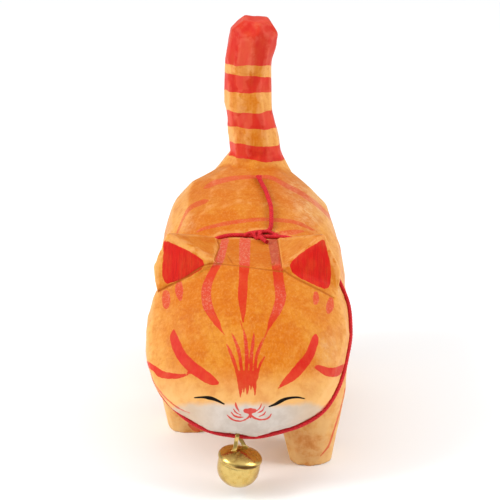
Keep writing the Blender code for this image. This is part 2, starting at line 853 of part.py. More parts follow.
def knot_hollow(cat, strands):
    """Room in the wood under the knot."""
    for name, line, half_width, closed in strands:
        spread = half_width + TOUCH_GAP * 1.25
        if closed:
            # a turn gets one round hollow, as wide as the turn
            middle = np.mean(line, axis=0)
            line = [middle + np.array([side * 1.3, 0.0, 0.0]) for side in (-1, -0.33, 0.33, 1)]
            spread += 1.0
        cutter = tube(name + "_room", line, spread, sides=10, helper=True)
        boolean(cat, cutter, "DIFFERENCE")


def collar_cord(route, strands):
    """The ring round the neck, its knot at the nape and the short cut end."""
    ring = tube("collar_cord", route, CORD_DIAMETER / 2, closed=True, sides=CORD_SIDES)
    for name, line, half_width, closed in strands:
        piece = tube(name, line, half_width, closed=closed, sides=6, helper=True)
        boolean(ring, piece, "UNION")
    return ring


def free_end(tree):
    """The loose end of the cord, from the knot back along the cat's back."""
    radius = CORD_DIAMETER / 2
    flat = smooth_curve([(x, y, 0.0) for x, y in FREE_END_ROUTE], 40)
    route = []
    for x, y, _ in flat:
        hit = tree.ray_cast(Vector((x, y, 200.0)), Vector((0, 0, -1)))
        place, normal = np.array(hit[0]), np.array(hit[1])
        route.append(place + normal * (radius + TOUCH_GAP))
    route = np.array(route)
    # it bridges small hollows of the wood and never dips below the clear height
    clear = route[:, 2].copy()
    window = np.hanning(9)[1:-1]
    window /= window.sum()
    half = len(window) // 2
    for _ in range(6):
        level = route[:, 2]
        padded = np.concatenate([np.full(half, level[0]), level, np.full(half, level[-1])])
        route[:, 2] = np.maximum(np.convolve(padded, window, mode="valid"), clear)
    route = smooth_curve(route, FREE_END_POINTS)
    curve = bpy.data.curves.new("collar_cord_end", "CURVE")
    curve.dimensions = "3D"
    curve.bevel_depth = radius * MM
    curve.bevel_resolution = 2
    curve.use_fill_caps = True
    spline = curve.splines.new("POLY")
    spline.points.add(len(route) - 1)
    for point, place in zip(spline.points, route):
        point.co = (*[float(v) * MM for v in place], 1.0)
    obj = bpy.data.objects.new("collar_cord_end", curve)
    bpy.context.scene.collection.objects.link(obj)
    return obj, route


def offset_profile(profile, wall):
    """The profile moved inwards by the wall, thicker under the strap."""
    pts = np.array(profile, dtype=float)
    inner = []
    for i in range(1, len(pts) - 1):
        along = pts[i + 1] - pts[i - 1]
        along /= np.linalg.norm(along)
        inward = np.array([along[1], -along[0]])
        if inward @ (np.array([0.0, -3.5]) - pts[i]) < 0:
            inward = -inward
        inner.append(pts[i] + inward * wall)
    inner = [p for p in inner if p[0] > 0.5]
    top = (0.0, inner[0][1] - 0.35)
    inner[0] = np.array([inner[0][0], inner[0][1] - 0.3])
    bottom = (0.0, pts[-1][1] + wall)
    return [top] + [tuple(p) for p in inner] + [bottom]


def bell(chin):
    """Hollow brass bell: shell, cross slit below and strap over the cord."""
    body = revolve("bell", BELL_OUTER, BELL_SIDES)
    hollow = revolve("bell_hollow", offset_profile(BELL_OUTER, BELL_WALL), BELL_SIDES, helper=True)
    boolean(body, hollow, "DIFFERENCE")
    slit_low, slit_high = -12.0, -6.4
    for k, angle in enumerate((rad(35.0), rad(125.0))):
        c, s = math.cos(angle), math.sin(angle)
        corners = []
        for u, v in ((-1, -1), (1, -1), (1, 1), (-1, 1)):
            a, b = u * SLIT_REACH, v * SLIT_WIDTH / 2
            corners.append((a * c - b * s, a * s + b * c))
        cutter = prism(
            f"slit_{k}",
            [(x, y, slit_low) for x, y in corners],
            [(x, y, slit_high) for x, y in corners],
        )
        boolean(body, cutter, "DIFFERENCE")
    # strap: up from the cap, over the cord and down behind it
    local = np.array(chin) - np.array(BELL_CENTRE)
    over = CORD_DIAMETER / 2 + TOUCH_GAP + STRAP_THICK / 2
    sx, sy, sz = local
    strap_route = smooth_curve(
        [
            (-1.75, -0.95, 2.15),
            (-1.15, -1.15, 3.0),
            (sx - 0.45, sy - over - 0.05, sz - 0.9),
            (sx - 0.15, sy - over, sz + 0.15),
            (sx, sy, sz + over),
            (sx + 0.15, sy + over, sz + 0.15),
            (sx + 0.45, sy + over + 0.05, sz - 0.9),
            (1.25, 1.15, 3.0),
            (1.75, 0.95, 2.15),
        ],
        26,
    )
    strap = tube(
        "strap",
        strap_route,
        STRAP_WIDTH / 2,
        STRAP_THICK / 2 * 1.08,
        sides=8,
        side_hint=(1.0, 0.0, 0.12),
        helper=True,
    )
    body.location = [v * MM for v in BELL_CENTRE]
    body.rotation_euler = (0.0, rad(BELL_TILT), 0.0)
    hollow.parent = body
    for obj in bpy.data.objects:
        if obj.name.startswith("slit_"):
            obj.parent = body
    strap.location = [v * MM for v in BELL_CENTRE]
    boolean(body, strap, "UNION")
    return body


# ---------------------------------------------------------------- assembly


def shade(obj, angle):
    if obj.type == "MESH":
        obj.data.shade_smooth()
        obj.data.set_sharp_from_angle(angle=rad(angle))


def build():
    clear_scene()
    cat = carve_cat()
    route, tree = collar_route(cat)
    groove(cat, route)
    chin = route[np.argmin(route[:, 2] + 0.35 * np.abs(route[:, 0] + 2.9))]
    chin_pocket(cat, chin)
    knot, strands = knot_strands(route)
    knot_hollow(cat, strands)
    cord = collar_cord(route, strands)
    end, end_route = free_end(tree)
    brass_bell = bell(chin)

    cat.data.materials.append(material("painted_wood", (0.86, 0.42, 0.11), 0.55))
    cord.data.materials.append(material("red_braid", (0.72, 0.02, 0.05), 0.7))
    end.data.materials.append(material("red_braid_end", (0.72, 0.02, 0.05), 0.7))
    brass_bell.data.materials.append(material("brass", (0.78, 0.57, 0.22), 0.25, 1.0))
    shade(cord, 50.0)
    shade(brass_bell, 35.0)

    # everything hangs on one empty, which brings the middle of the underside to the origin
    bpy.context.view_layer.update()
    graph = bpy.context.evaluated_depsgraph_get()
    low, high = np.full(3, 1e9), np.full(3, -1e9)
    for obj in (cat, cord, brass_bell):
        shape = obj.evaluated_get(graph)
        mesh = shape.to_mesh()
        for vert in mesh.vertices:
            place = np.array(shape.matrix_world @ vert.co)
            low, high = np.minimum(low, place), np.maximum(high, place)
        shape.to_mesh_clear()
    stand = bpy.data.objects.new("stand", None)
    bpy.context.scene.collection.objects.link(stand)
    for obj in list(bpy.data.objects):
        if obj is not stand and obj.parent is None:
            obj.parent = stand
    stand.location = (-(low[0] + high[0]) / 2, -(low[1] + high[1]) / 2, -low[2])
    bpy.context.view_layer.update()
    return {
        "shift_mm": np.array(stand.location) / MM,
        "chin_mm": chin,
        "knot_mm": knot,
        "free_end_mm": end_route,
        "collar_mm": route,
    }


SUMMARY = build()
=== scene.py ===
"""Looks of the small carved cat: painted wood, braided red cord, brass bell."""

import math

import bmesh
import bpy
import numpy as np
from mathutils import Matrix, Vector, noise
from mathutils.bvhtree import BVHTree
from mathutils.kdtree import KDTree


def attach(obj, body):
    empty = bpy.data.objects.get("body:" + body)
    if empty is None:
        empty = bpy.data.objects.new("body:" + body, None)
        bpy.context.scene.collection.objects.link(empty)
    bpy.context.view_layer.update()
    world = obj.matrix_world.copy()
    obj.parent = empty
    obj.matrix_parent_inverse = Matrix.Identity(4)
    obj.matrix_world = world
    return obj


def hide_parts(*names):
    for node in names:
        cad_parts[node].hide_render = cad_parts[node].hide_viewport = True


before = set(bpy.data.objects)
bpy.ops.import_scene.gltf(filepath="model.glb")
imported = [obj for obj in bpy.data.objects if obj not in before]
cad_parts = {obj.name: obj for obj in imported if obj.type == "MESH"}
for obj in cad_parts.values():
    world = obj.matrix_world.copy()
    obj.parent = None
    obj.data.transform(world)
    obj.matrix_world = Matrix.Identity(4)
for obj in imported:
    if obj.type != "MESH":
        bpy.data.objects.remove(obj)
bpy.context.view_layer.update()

MM = 0.001
# where the modelling origin of the cat lies in this frame, in millimetres
SHIFT = np.array([0.1316, -13.6012, 0.0])

# ---------------------------------------------------------------- camera

LOOK = np.array([0.0, 0.9304, -0.3665])
UPWARD = np.array([0.0, 0.3665, 0.9304])
RIGHTWARD = np.array([1.0, 0.0, 0.0])
TARGET = np.array([0.0, 0.0, 58.0]) + SHIFT
DISTANCE = 480.0
FOCAL = 1728.0
EYE = TARGET - LOOK * DISTANCE


def place_camera():
    data = bpy.data.cameras.new("camera")
    data.sensor_width = 36.0
    data.sensor_fit = "AUTO"
    data.lens = FOCAL * 36.0 / 500.0
    data.clip_start, data.clip_end = 0.01, 20.0
    camera = bpy.data.objects.new("camera", data)
    bpy.context.scene.collection.objects.link(camera)
    turn = Matrix((RIGHTWARD, UPWARD, -LOOK)).transposed()
    camera.matrix_world = Matrix.Translation(Vector(EYE * MM)) @ turn.to_4x4()
    bpy.context.scene.camera = camera


def to_view(points):
    """Places in the 500 x 500 frame of points in millimetres, and their depth."""
    rel = points - EYE
    depth = rel @ LOOK
    return 250.0 + FOCAL * (rel @ RIGHTWARD) / depth, 250.0 - FOCAL * (rel @ UPWARD) / depth, depth


place_camera()


# ---------------------------------------------------------------- small helpers


def curve_through(points, step, closed=False):
    """Evenly spaced points on a Catmull-Rom curve; any number of columns."""
    pts = [np.array(p, dtype=float) for p in points]
    n = len(pts)
    dense = []
    for i in range(n if closed else n - 1):
        p1, p2 = pts[i], pts[(i + 1) % n]
        p0 = pts[(i - 1) % n] if closed or i > 0 else 2 * p1 - p2
        p3 = pts[(i + 2) % n] if closed or i + 2 < n else 2 * p2 - p1
        for k in range(16):
            t = k / 16.0
            dense.append(
                0.5 * (2 * p1 + (p2 - p0) * t + (2 * p0 - 5 * p1 + 4 * p2 - p3) * t * t
                       + (3 * p1 - p0 - 3 * p2 + p3) * t**3)
            )
    dense.append(pts[0] if closed else pts[-1])
    dense = np.array(dense)
    space = dense[:, :3] if dense.shape[1] > 3 else dense[:, :2]
    run = np.concatenate([[0.0], np.cumsum(np.linalg.norm(np.diff(space, axis=0), axis=1))])
    count = max(3, int(round(run[-1] / step)) + 1)
    wanted = np.linspace(0.0, run[-1], count)
    if closed:
        wanted = wanted[:-1]
    return np.stack([np.interp(wanted, run, dense[:, k]) for k in range(dense.shape[1])], axis=1)


def make_piece(name, points, faces, material, smooth=True):
    mesh = bpy.data.meshes.new(name)
    mesh.from_pydata([tuple(float(v) * MM for v in p) for p in points], [], faces)
    mesh.validate()
    if smooth:
        mesh.shade_smooth()
    mesh.materials.append(material)
    obj = bpy.data.objects.new(name, mesh)
    bpy.context.scene.collection.objects.link(obj)
    return obj


def node_arrays(node):
    """Points in millimetres and triangles of a CAD node, seams between its corners closed."""
    made = bmesh.new()
    made.from_mesh(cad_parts[node].data)
    bmesh.ops.remove_doubles(made, verts=made.verts, dist=2e-6)
    bmesh.ops.triangulate(made, faces=made.faces)
    made.verts.ensure_lookup_table()
    points = np.array([v.co for v in made.verts]) / MM
    faces = np.array([[v.index for v in f.verts] for f in made.faces])
    return points, faces, made


def smooth_step(low, high, x):
    t = np.clip((x - low) / (high - low), 0.0, 1.0)
    return t * t * (3.0 - 2.0 * t)


# ---------------------------------------------------------------- shader helpers


class Nodes:
    """A material's nodes, made from short calls."""

    def __init__(self, name):
        self.material = bpy.data.materials.new(name)
        self.material.use_nodes = True
        self.tree = self.material.node_tree
        self.shader = self.tree.nodes["Principled BSDF"]

    def node(self, kind, **values):
        made = self.tree.nodes.new(kind)
        for key, value in values.items():
            setattr(made, key, value)
        return made

    def link(self, source, target):
        self.tree.links.new(source, target)

    def feed(self, socket, value):
        if isinstance(value, bpy.types.NodeSocket):
            self.link(value, socket)
        elif value is not None:
            socket.default_value = value

    def math(self, operation, a, b=None, c=None, clamp=False):
        made = self.node("ShaderNodeMath", operation=operation, use_clamp=clamp)
        for socket, value in zip(made.inputs, (a, b, c)):
            self.feed(socket, value)
        return made.outputs[0]

    def mix(self, factor, a, b, blend="MIX"):
        made = self.node("ShaderNodeMix", data_type="RGBA", blend_type=blend)
        self.feed(made.inputs[0], factor)
        self.feed(made.inputs[6], a)
        self.feed(made.inputs[7], b)
        return made.outputs[2]

    def range(self, value, low, high, to_low=0.0, to_high=1.0, smooth=True):
        made = self.node("ShaderNodeMapRange")
        made.interpolation_type = "SMOOTHSTEP" if smooth else "LINEAR"
        made.clamp = True
        for socket, given in zip(made.inputs[:5], (value, low, high, to_low, to_high)):
            self.feed(socket, given)
        return made.outputs[0]

    def attribute(self, name):
        made = self.node("ShaderNodeAttribute", attribute_type="GEOMETRY", attribute_name=name)
        return made.outputs["Fac"]

    def noise(self, vector, scale, detail=3.0, roughness=0.5, distortion=0.0):
        made = self.node("ShaderNodeTexNoise")
        self.feed(made.inputs["Vector"], vector)
        made.inputs["Scale"].default_value = scale
        made.inputs["Detail"].default_value = detail
        made.inputs["Roughness"].default_value = roughness
        made.inputs["Distortion"].default_value = distortion
        return made.outputs["Fac"]

    def stretched(self, source, scale, rotation=(0.0, 0.0, 0.0), location=(0.0, 0.0, 0.0)):
        made = self.node("ShaderNodeMapping")
        self.feed(made.inputs["Vector"], source)
        made.inputs["Scale"].default_value = scale
        made.inputs["Rotation"].default_value = rotation
        made.inputs["Location"].default_value = location
        return made.outputs[0]

    def place(self):
        """Object coordinates, in metres."""
        return self.node("ShaderNodeTexCoord").outputs["Object"]


# ---------------------------------------------------------------- strokes of the brush
# x, y in the 500 x 500 frame and full width there, along each stroke

FOREHEAD_STROKES = (
    ((225, 240.5, 7.5), (221, 256, 8), (217, 265, 7.5), (211, 276, 8), (206.5, 288, 9.5),
     (207, 303, 10), (211, 313, 8.5), (217, 323, 6), (222, 332, 1.2)),
    ((245, 240.5, 11), (244.7, 252, 11), (244.5, 265, 10.5), (243.3, 280, 9), (242.8, 290, 9.5),
     (242.5, 300, 8.5), (243, 311, 5.5), (243.2, 322, 1.2)),
    ((273, 241.5, 10), (276.5, 263, 10), (279.2, 284, 10.5), (280.6, 298, 11), (276.5, 311, 9),
     (271.5, 321, 6), (268, 329.5, 1.8)),
)
THREADS = (
    ((222, 331, 1.3), (224.3, 334.5, 0.7)),
    ((240.5, 321, 0.9), (242.2, 327, 1.3), (244.2, 332, 0.9)),
    ((268.3, 328.5, 1.8), (264.5, 338, 1.2), (260.5, 348, 1.2), (256.8, 358, 1.4)),
)
FAN_STROKES = (
    ((226.5, 344.0, 1.0), (229.4, 350, 2.8), (232.8, 358.5, 3.6), (235.4, 366, 3.4), (236.6, 370, 3.2),
     (238.4, 376, 4.4), (240.0, 386, 4.2), (240.5, 397.5, 1.2)),
    ((230.8, 332.0, 0.8), (234.0, 338, 2.6), (237.6, 347, 3.4), (239.9, 357, 3.4), (241.0, 366, 3.3),
     (241.6, 370, 3.4), (242.8, 380, 4.6), (243.8, 392, 1.4)),
    ((243.6, 329.5, 0.8), (245.2, 338, 3.2), (246.4, 349, 3.6), (246.6, 360, 3.5), (246.5, 370, 3.5),
     (247.2, 384, 4.2), (247.3, 394.5, 1.2)),
    ((254.2, 331.5, 0.8), (253.2, 341, 3.0), (251.8, 352, 3.4), (251.1, 362, 3.4), (250.9, 370, 3.4),
     (251.2, 383, 3.4), (251.0, 389.5, 1.2)),
    ((263.0, 338.5, 0.8), (259.8, 346, 2.2), (257.0, 354, 3.0), (255.6, 363, 3.2), (255.2, 370, 3.0),
     (254.8, 384, 3.6), (255.0, 395, 1.2)),
    ((264.7, 356.8, 1.0), (261.7, 361.5, 2.2), (259.3, 367, 2.6), (257.8, 373, 2.4),
     (256.8, 381, 1.6)),
)
BRIDGE_STROKE = (
    ((237.4, 372.6, 3.4), (246.8, 372.2, 3.6), (256.2, 372.4, 3.2)),
    ((238.4, 375.4, 4), (247, 375.4, 4.2), (255.6, 375.2, 4)),
    ((239.6, 379, 4), (247.2, 379.2, 4.4), (254.8, 379, 4)),
    ((240.6, 383, 4), (247.4, 383.2, 4.2), (254.2, 383, 3.6)),
)
CHEEK_STROKES = (
    ((173.6, 330.2, 2), (173.6, 336, 7), (176, 344, 9.5), (180.5, 354, 10.5), (189, 364.3, 11.5),
     (198.6, 371.8, 11.5), (207.5, 378, 10.5), (213.5, 381.6, 7.5), (219, 383.4, 2)),
    ((315.8, 334, 2), (315, 339, 7), (313.4, 345, 8.2), (309, 356, 9.2), (301, 366.5, 10.5),
     (293.5, 375, 9.6), (286, 381.5, 6.5), (278, 388.3, 1)),
)
LOWER_CHEEK_STROKES = (
    ((147.0, 363.5, 5.0), (150.5, 366, 5.2), (155.5, 369.5, 6), (161, 374, 7.4), (170, 375.8, 6),
     (179, 376, 4.6), (189.5, 373.8, 1)),
    ((313.5, 366.3, 1.6), (318.5, 367.8, 5.5), (325, 370.8, 8), (331, 372.4, 9.5), (336.5, 371.6, 9),
     (341.5, 368, 5.5), (346.5, 364.6, 4)),
)
DOTS = (
    ((166, 293.5, 7), (166.3, 300, 8.6), (166, 306, 6)),
    ((179, 283, 5.5), (179, 290, 8.4), (180, 297.5, 5), (181, 301.5, 1)),
    ((316, 293.5, 4.4), (316, 298.5, 6.8), (315.6, 303, 4)),
    ((331, 299.5, 5), (330, 306.5, 7.8), (328.6, 312.5, 3.5)),
)
JAW_THREADS = (
    ((151.7, 378, 1.0), (155.7, 385.5, 1.5), (163, 395, 1.5), (172.5, 404, 1.4), (183, 410.4, 1.1),
     (190, 413, 0.6)),
    ((336, 391, 0.7), (331, 399, 1.3), (324.4, 407, 1.3), (318, 413, 1.0), (309, 420, 0.6)),
)
LEG_THREADS = (
    ((345.4, 388, 1.0), (343.2, 399, 1.5), (340, 411, 1.6), (336, 424, 1.5), (332.4, 435, 1.7),
     (329, 445, 1.9), (324.5, 451.5, 1.6), (320.5, 456, 1.0)),
    ((189, 424.5, 2.5), (194, 428.5, 4.5), (199, 430.5, 2.5)),
)
BACK_STROKES = (
    ((203.5, 188.5, 1), (208, 186, 4.6), (217, 182, 5.4), (228, 179.2, 5), (240, 177.4, 4.2), (257, 177, 3.6),
     (272, 178, 4.2), (287, 186, 4.6), (298, 191.5, 4.8), (308, 198, 4.8), (320, 207, 4.2), (331, 218, 3.4),
     (337, 226, 2.6)),
    ((196, 232.5, 1), (203, 229, 3.0), (219, 225, 3.8), (235, 222, 3.8), (257, 219.6, 3.6), (275, 219.8, 3.8),
     (294, 222, 3.8), (306, 226.5, 3), (315, 231, 1)),
    ((208.5, 200.3, 1.2), (203, 202, 5), (196, 204.6, 5), (189.5, 208.5, 4), (183.5, 218, 2.4),
     (178, 231, 2), (172, 243, 1.6)),
    ((272, 235.5, 4), (283, 233.5, 5.5), (295, 232, 4.6), (305, 231, 1)),
)
EYES = (
    ((194.6, 397.7, 1.2), (203.5, 397.2, 2.2), (209, 397.9, 3.6), (213, 398.8, 3.3), (218, 400.9, 2.5),
     (224, 404.0, 1.3)),
    ((269.2, 406.6, 1.3), (276.0, 403.9, 2.9), (280.5, 401.2, 3.5), (285.5, 399.0, 2.9), (291.5, 397.7, 2.2),
     (298, 397.4, 1.8), (304.5, 398.6, 1.1)),
)
NOSE = (
    ((245.4, 410.6, 4.2), (250, 411.0, 5.8), (254.6, 410.6, 4.2)),
    ((250, 411.4, 5.0), (250.3, 414.6, 3.0), (250.5, 417.4, 1.7)),
)
MOUTH = (
    ((250.2, 414.6, 1.38), (248.2, 417.4, 1.62), (244.6, 419.9, 1.69), (240.2, 421.1, 1.62), (234.8, 420.4, 1.69),
     (230.4, 418.2, 1.62), (226.9, 414.8, 1.12)),
    ((250.6, 414.6, 1.38), (253.2, 417.2, 1.62), (256.8, 418.9, 1.69), (261.4, 419.8, 1.62), (266.4, 419.0, 1.62),
     (269.4, 417.0, 1.62), (271.0, 414.2, 1.12)),
)
WHISKERS = (
    ((235.6, 402.4, 0.88), (236.3, 406.2, 2.50), (239.2, 411.8, 0.88)),
    ((233.4, 409.0, 0.88), (236.2, 412.6, 1.62), (240.9, 415.0, 0.88)),
    ((231.2, 412.4, 0.88), (234.6, 415.8, 1.62), (239, 417.3, 1.50), (243.3, 417.2, 0.88)),
    ((261.5, 403.4, 0.88), (260.2, 407.4, 1.62), (256.9, 410.8, 0.88)),
    ((264.3, 406.6, 0.88), (262.4, 410.5, 1.62), (257.6, 413.1, 0.88)),
    ((265.6, 411.8, 0.88), (263.3, 414.7, 1.50), (258.9, 416.5, 0.88)),
)
RIGHT_EAR_RED = ((163.8, 239.6), (173, 243.6), (186, 249.6), (196, 255), (203, 260.5), (204.4, 265),
                 (201.5, 269.5), (190, 276.6), (178, 280.4), (167.3, 284.2), (164.6, 282), (162.2, 276),
                 (162.5, 264), (163.6, 252), (163.2, 244))
LEFT_EAR_RED = ((324, 238.4), (317.5, 242.6), (306, 249.6), (297, 256.4), (291, 262), (289.6, 266.2),
                (292.4, 272.4), (299, 277.6), (308, 281.8), (318, 286.6), (324.6, 288.9), (328.2, 288),
                (330.2, 284), (331.4, 272), (329.6, 259), (326.4, 247))
# cuts of the knife that show as fine dark lines, their darkness painted shade in the sunk cut: x, y, full width, all
# in the frame
CUTS = (
    ((158, 292, 1.6), (170, 285.5, 2.2), (186, 277.5, 2.4), (197, 270, 2.2), (205, 265.2, 1.8)),
    ((205, 265.2, 1.6), (216, 263.6, 1.5), (230, 264.4, 1.5), (240, 265.5, 1.6), (252, 267.2, 1.6),
     (264, 269, 1.7), (277, 270.8, 1.7), (284, 272, 1.6)),
    ((284, 270.6, 1.7), (293, 276.4, 2.3), (306, 283, 2.4), (320, 290, 2.2), (334, 297.5, 1.5)),
    ((217.2, 239, 1.8), (219.2, 246, 1.7), (217.2, 253, 1.6), (215.2, 259, 2.0), (216.8, 262.5, 1.2)),
    ((277.2, 240, 1.6), (278.6, 248, 1.5), (279.8, 257, 1.5), (281.2, 264, 1.5), (280.4, 270, 1.0)),
    ((227.5, 255, 0.9), (230.6, 260, 1.6), (232.8, 262.6, 1.0)),
    ((270.6, 262.2, 1.1), (273.2, 264.4, 1.8), (274.6, 262.2, 0.9)),
)


# ---------------------------------------------------------------- the wood


def polyline_distance(xy, stroke, scale=1.0):
    """Distance in the plane to a stroke's edge: negative inside. Widths taper along it."""
    line = curve_through(stroke, 1.2)
    best = np.full(len(xy), 1e9)
    low = line[:, :2].min(0) - 14.0
    high = line[:, :2].max(0) + 14.0
    near = np.flatnonzero(((xy > low) & (xy < high)).all(1))
    if len(near) == 0:
        return best
    p = xy[near]
    found = np.full(len(near), 1e9)
    for a, b in zip(line[:-1], line[1:]):
        along = b[:2] - a[:2]
        t = np.clip(((p - a[:2]) @ along) / max(along @ along, 1e-9), 0.0, 1.0)
        away = np.linalg.norm(p - (a[:2] + t[:, None] * along), axis=1)
        half = 0.5 * (a[2] + t * (b[2] - a[2])) * scale
        found = np.minimum(found, away - half)
    best[near] = found
    return best


def polygon_distance(xy, corners):
    """Distance in the plane to a closed outline: negative inside."""
    best = np.full(len(xy), 1e9)
    c = np.array(corners, dtype=float)
    near = np.flatnonzero(((xy > c.min(0) - 14) & (xy < c.max(0) + 14)).all(1))
    if len(near) == 0:
        return best
    p = xy[near]
    away = np.full(len(near), 1e9)
    inside = np.zeros(len(near), dtype=bool)
    for a, b in zip(c, np.roll(c, -1, axis=0)):
        along = b - a
        t = np.clip(((p - a) @ along) / max(along @ along, 1e-9), 0.0, 1.0)
        away = np.minimum(away, np.linalg.norm(p - (a + t[:, None] * along), axis=1))
        crosses = (a[1] > p[:, 1]) != (b[1] > p[:, 1])
        x = a[0] + (p[:, 1] - a[1]) / np.where(b[1] == a[1], 1e-9, b[1] - a[1]) * along[0]
        inside ^= crosses & (p[:, 0] < x)
    best[near] = np.where(inside, -away, away)
    return best


def capsule_distance(points, line):
    """Distance in space to a stroke's edge: rows of x, y, z and full width in millimetres."""
    best = np.full(len(points), 1e9)
    line = np.array(line, dtype=float)
    near = np.flatnonzero(
        ((points > line[:, :3].min(0) - 6) & (points < line[:, :3].max(0) + 6)).all(1)
    )
    if len(near) == 0:
        return best
    p = points[near]
    found = np.full(len(near), 1e9)
    for a, b in zip(line[:-1], line[1:]):
        along = b[:3] - a[:3]
        t = np.clip(((p - a[:3]) @ along) / max(along @ along, 1e-9), 0.0, 1.0)
        away = np.linalg.norm(p - (a[:3] + t[:, None] * along), axis=1)
        found = np.minimum(found, away - 0.5 * (a[3] + t * (b[3] - a[3])))
    best[near] = found
    return best


def collar_frame(points):
    """Round-the-neck angle in degrees, way outward from the neck, and distance ahead of the cord."""
    lean, turn = math.radians(46.4), math.radians(-6.0)
    c, s = math.cos(turn), math.sin(turn)
    spin = np.array([[c, -s, 0.0], [s, c, 0.0], [0.0, 0.0, 1.0]])
    right = spin @ np.array([1.0, 0.0, 0.0])
    up = spin @ np.array([0.0, math.sin(lean), math.cos(lean)])
    forward = spin @ np.array([0.0, -math.cos(lean), math.sin(lean)])
    rel = points - SHIFT - np.array([0.1, -11.5, 37.4])
    a, b = rel @ right, rel @ up
    angle = np.degrees(np.arctan2(b, a))
    size = np.maximum(np.hypot(a, b), 1e-6)
    outward = (a / size)[:, None] * right + (b / size)[:, None] * up
    return angle, outward, rel @ forward, size


def jaw_fill(points, cord=False):
    """How far the jaw stands out beyond the plain model, all within its box."""
    angle, outward, ahead, size = collar_frame(points)
    push = 1.35 * np.exp(-(((angle + 43.0) / 16.0) ** 2)) + 0.35 * np.exp(-(((angle + 84.0) / 20.0) ** 2))
    if not cord:
        push *= smooth_step(-6.0, -1.0, ahead) * smooth_step(24.0, 5.0, ahead) * smooth_step(9.0, 18.0, size)
        rim = smooth_step(-0.1, 0.9, ahead) * smooth_step(12.0, 3.0, ahead)
        away = (angle + 360.0) % 360.0
        lower = 0.38 + 0.38 * smooth_step(193.0, 205.0, away)
        push += lower * rim * smooth_step(180.0, 196.0, away) * smooth_step(241.0, 228.0, away)
    return outward * push[:, None]


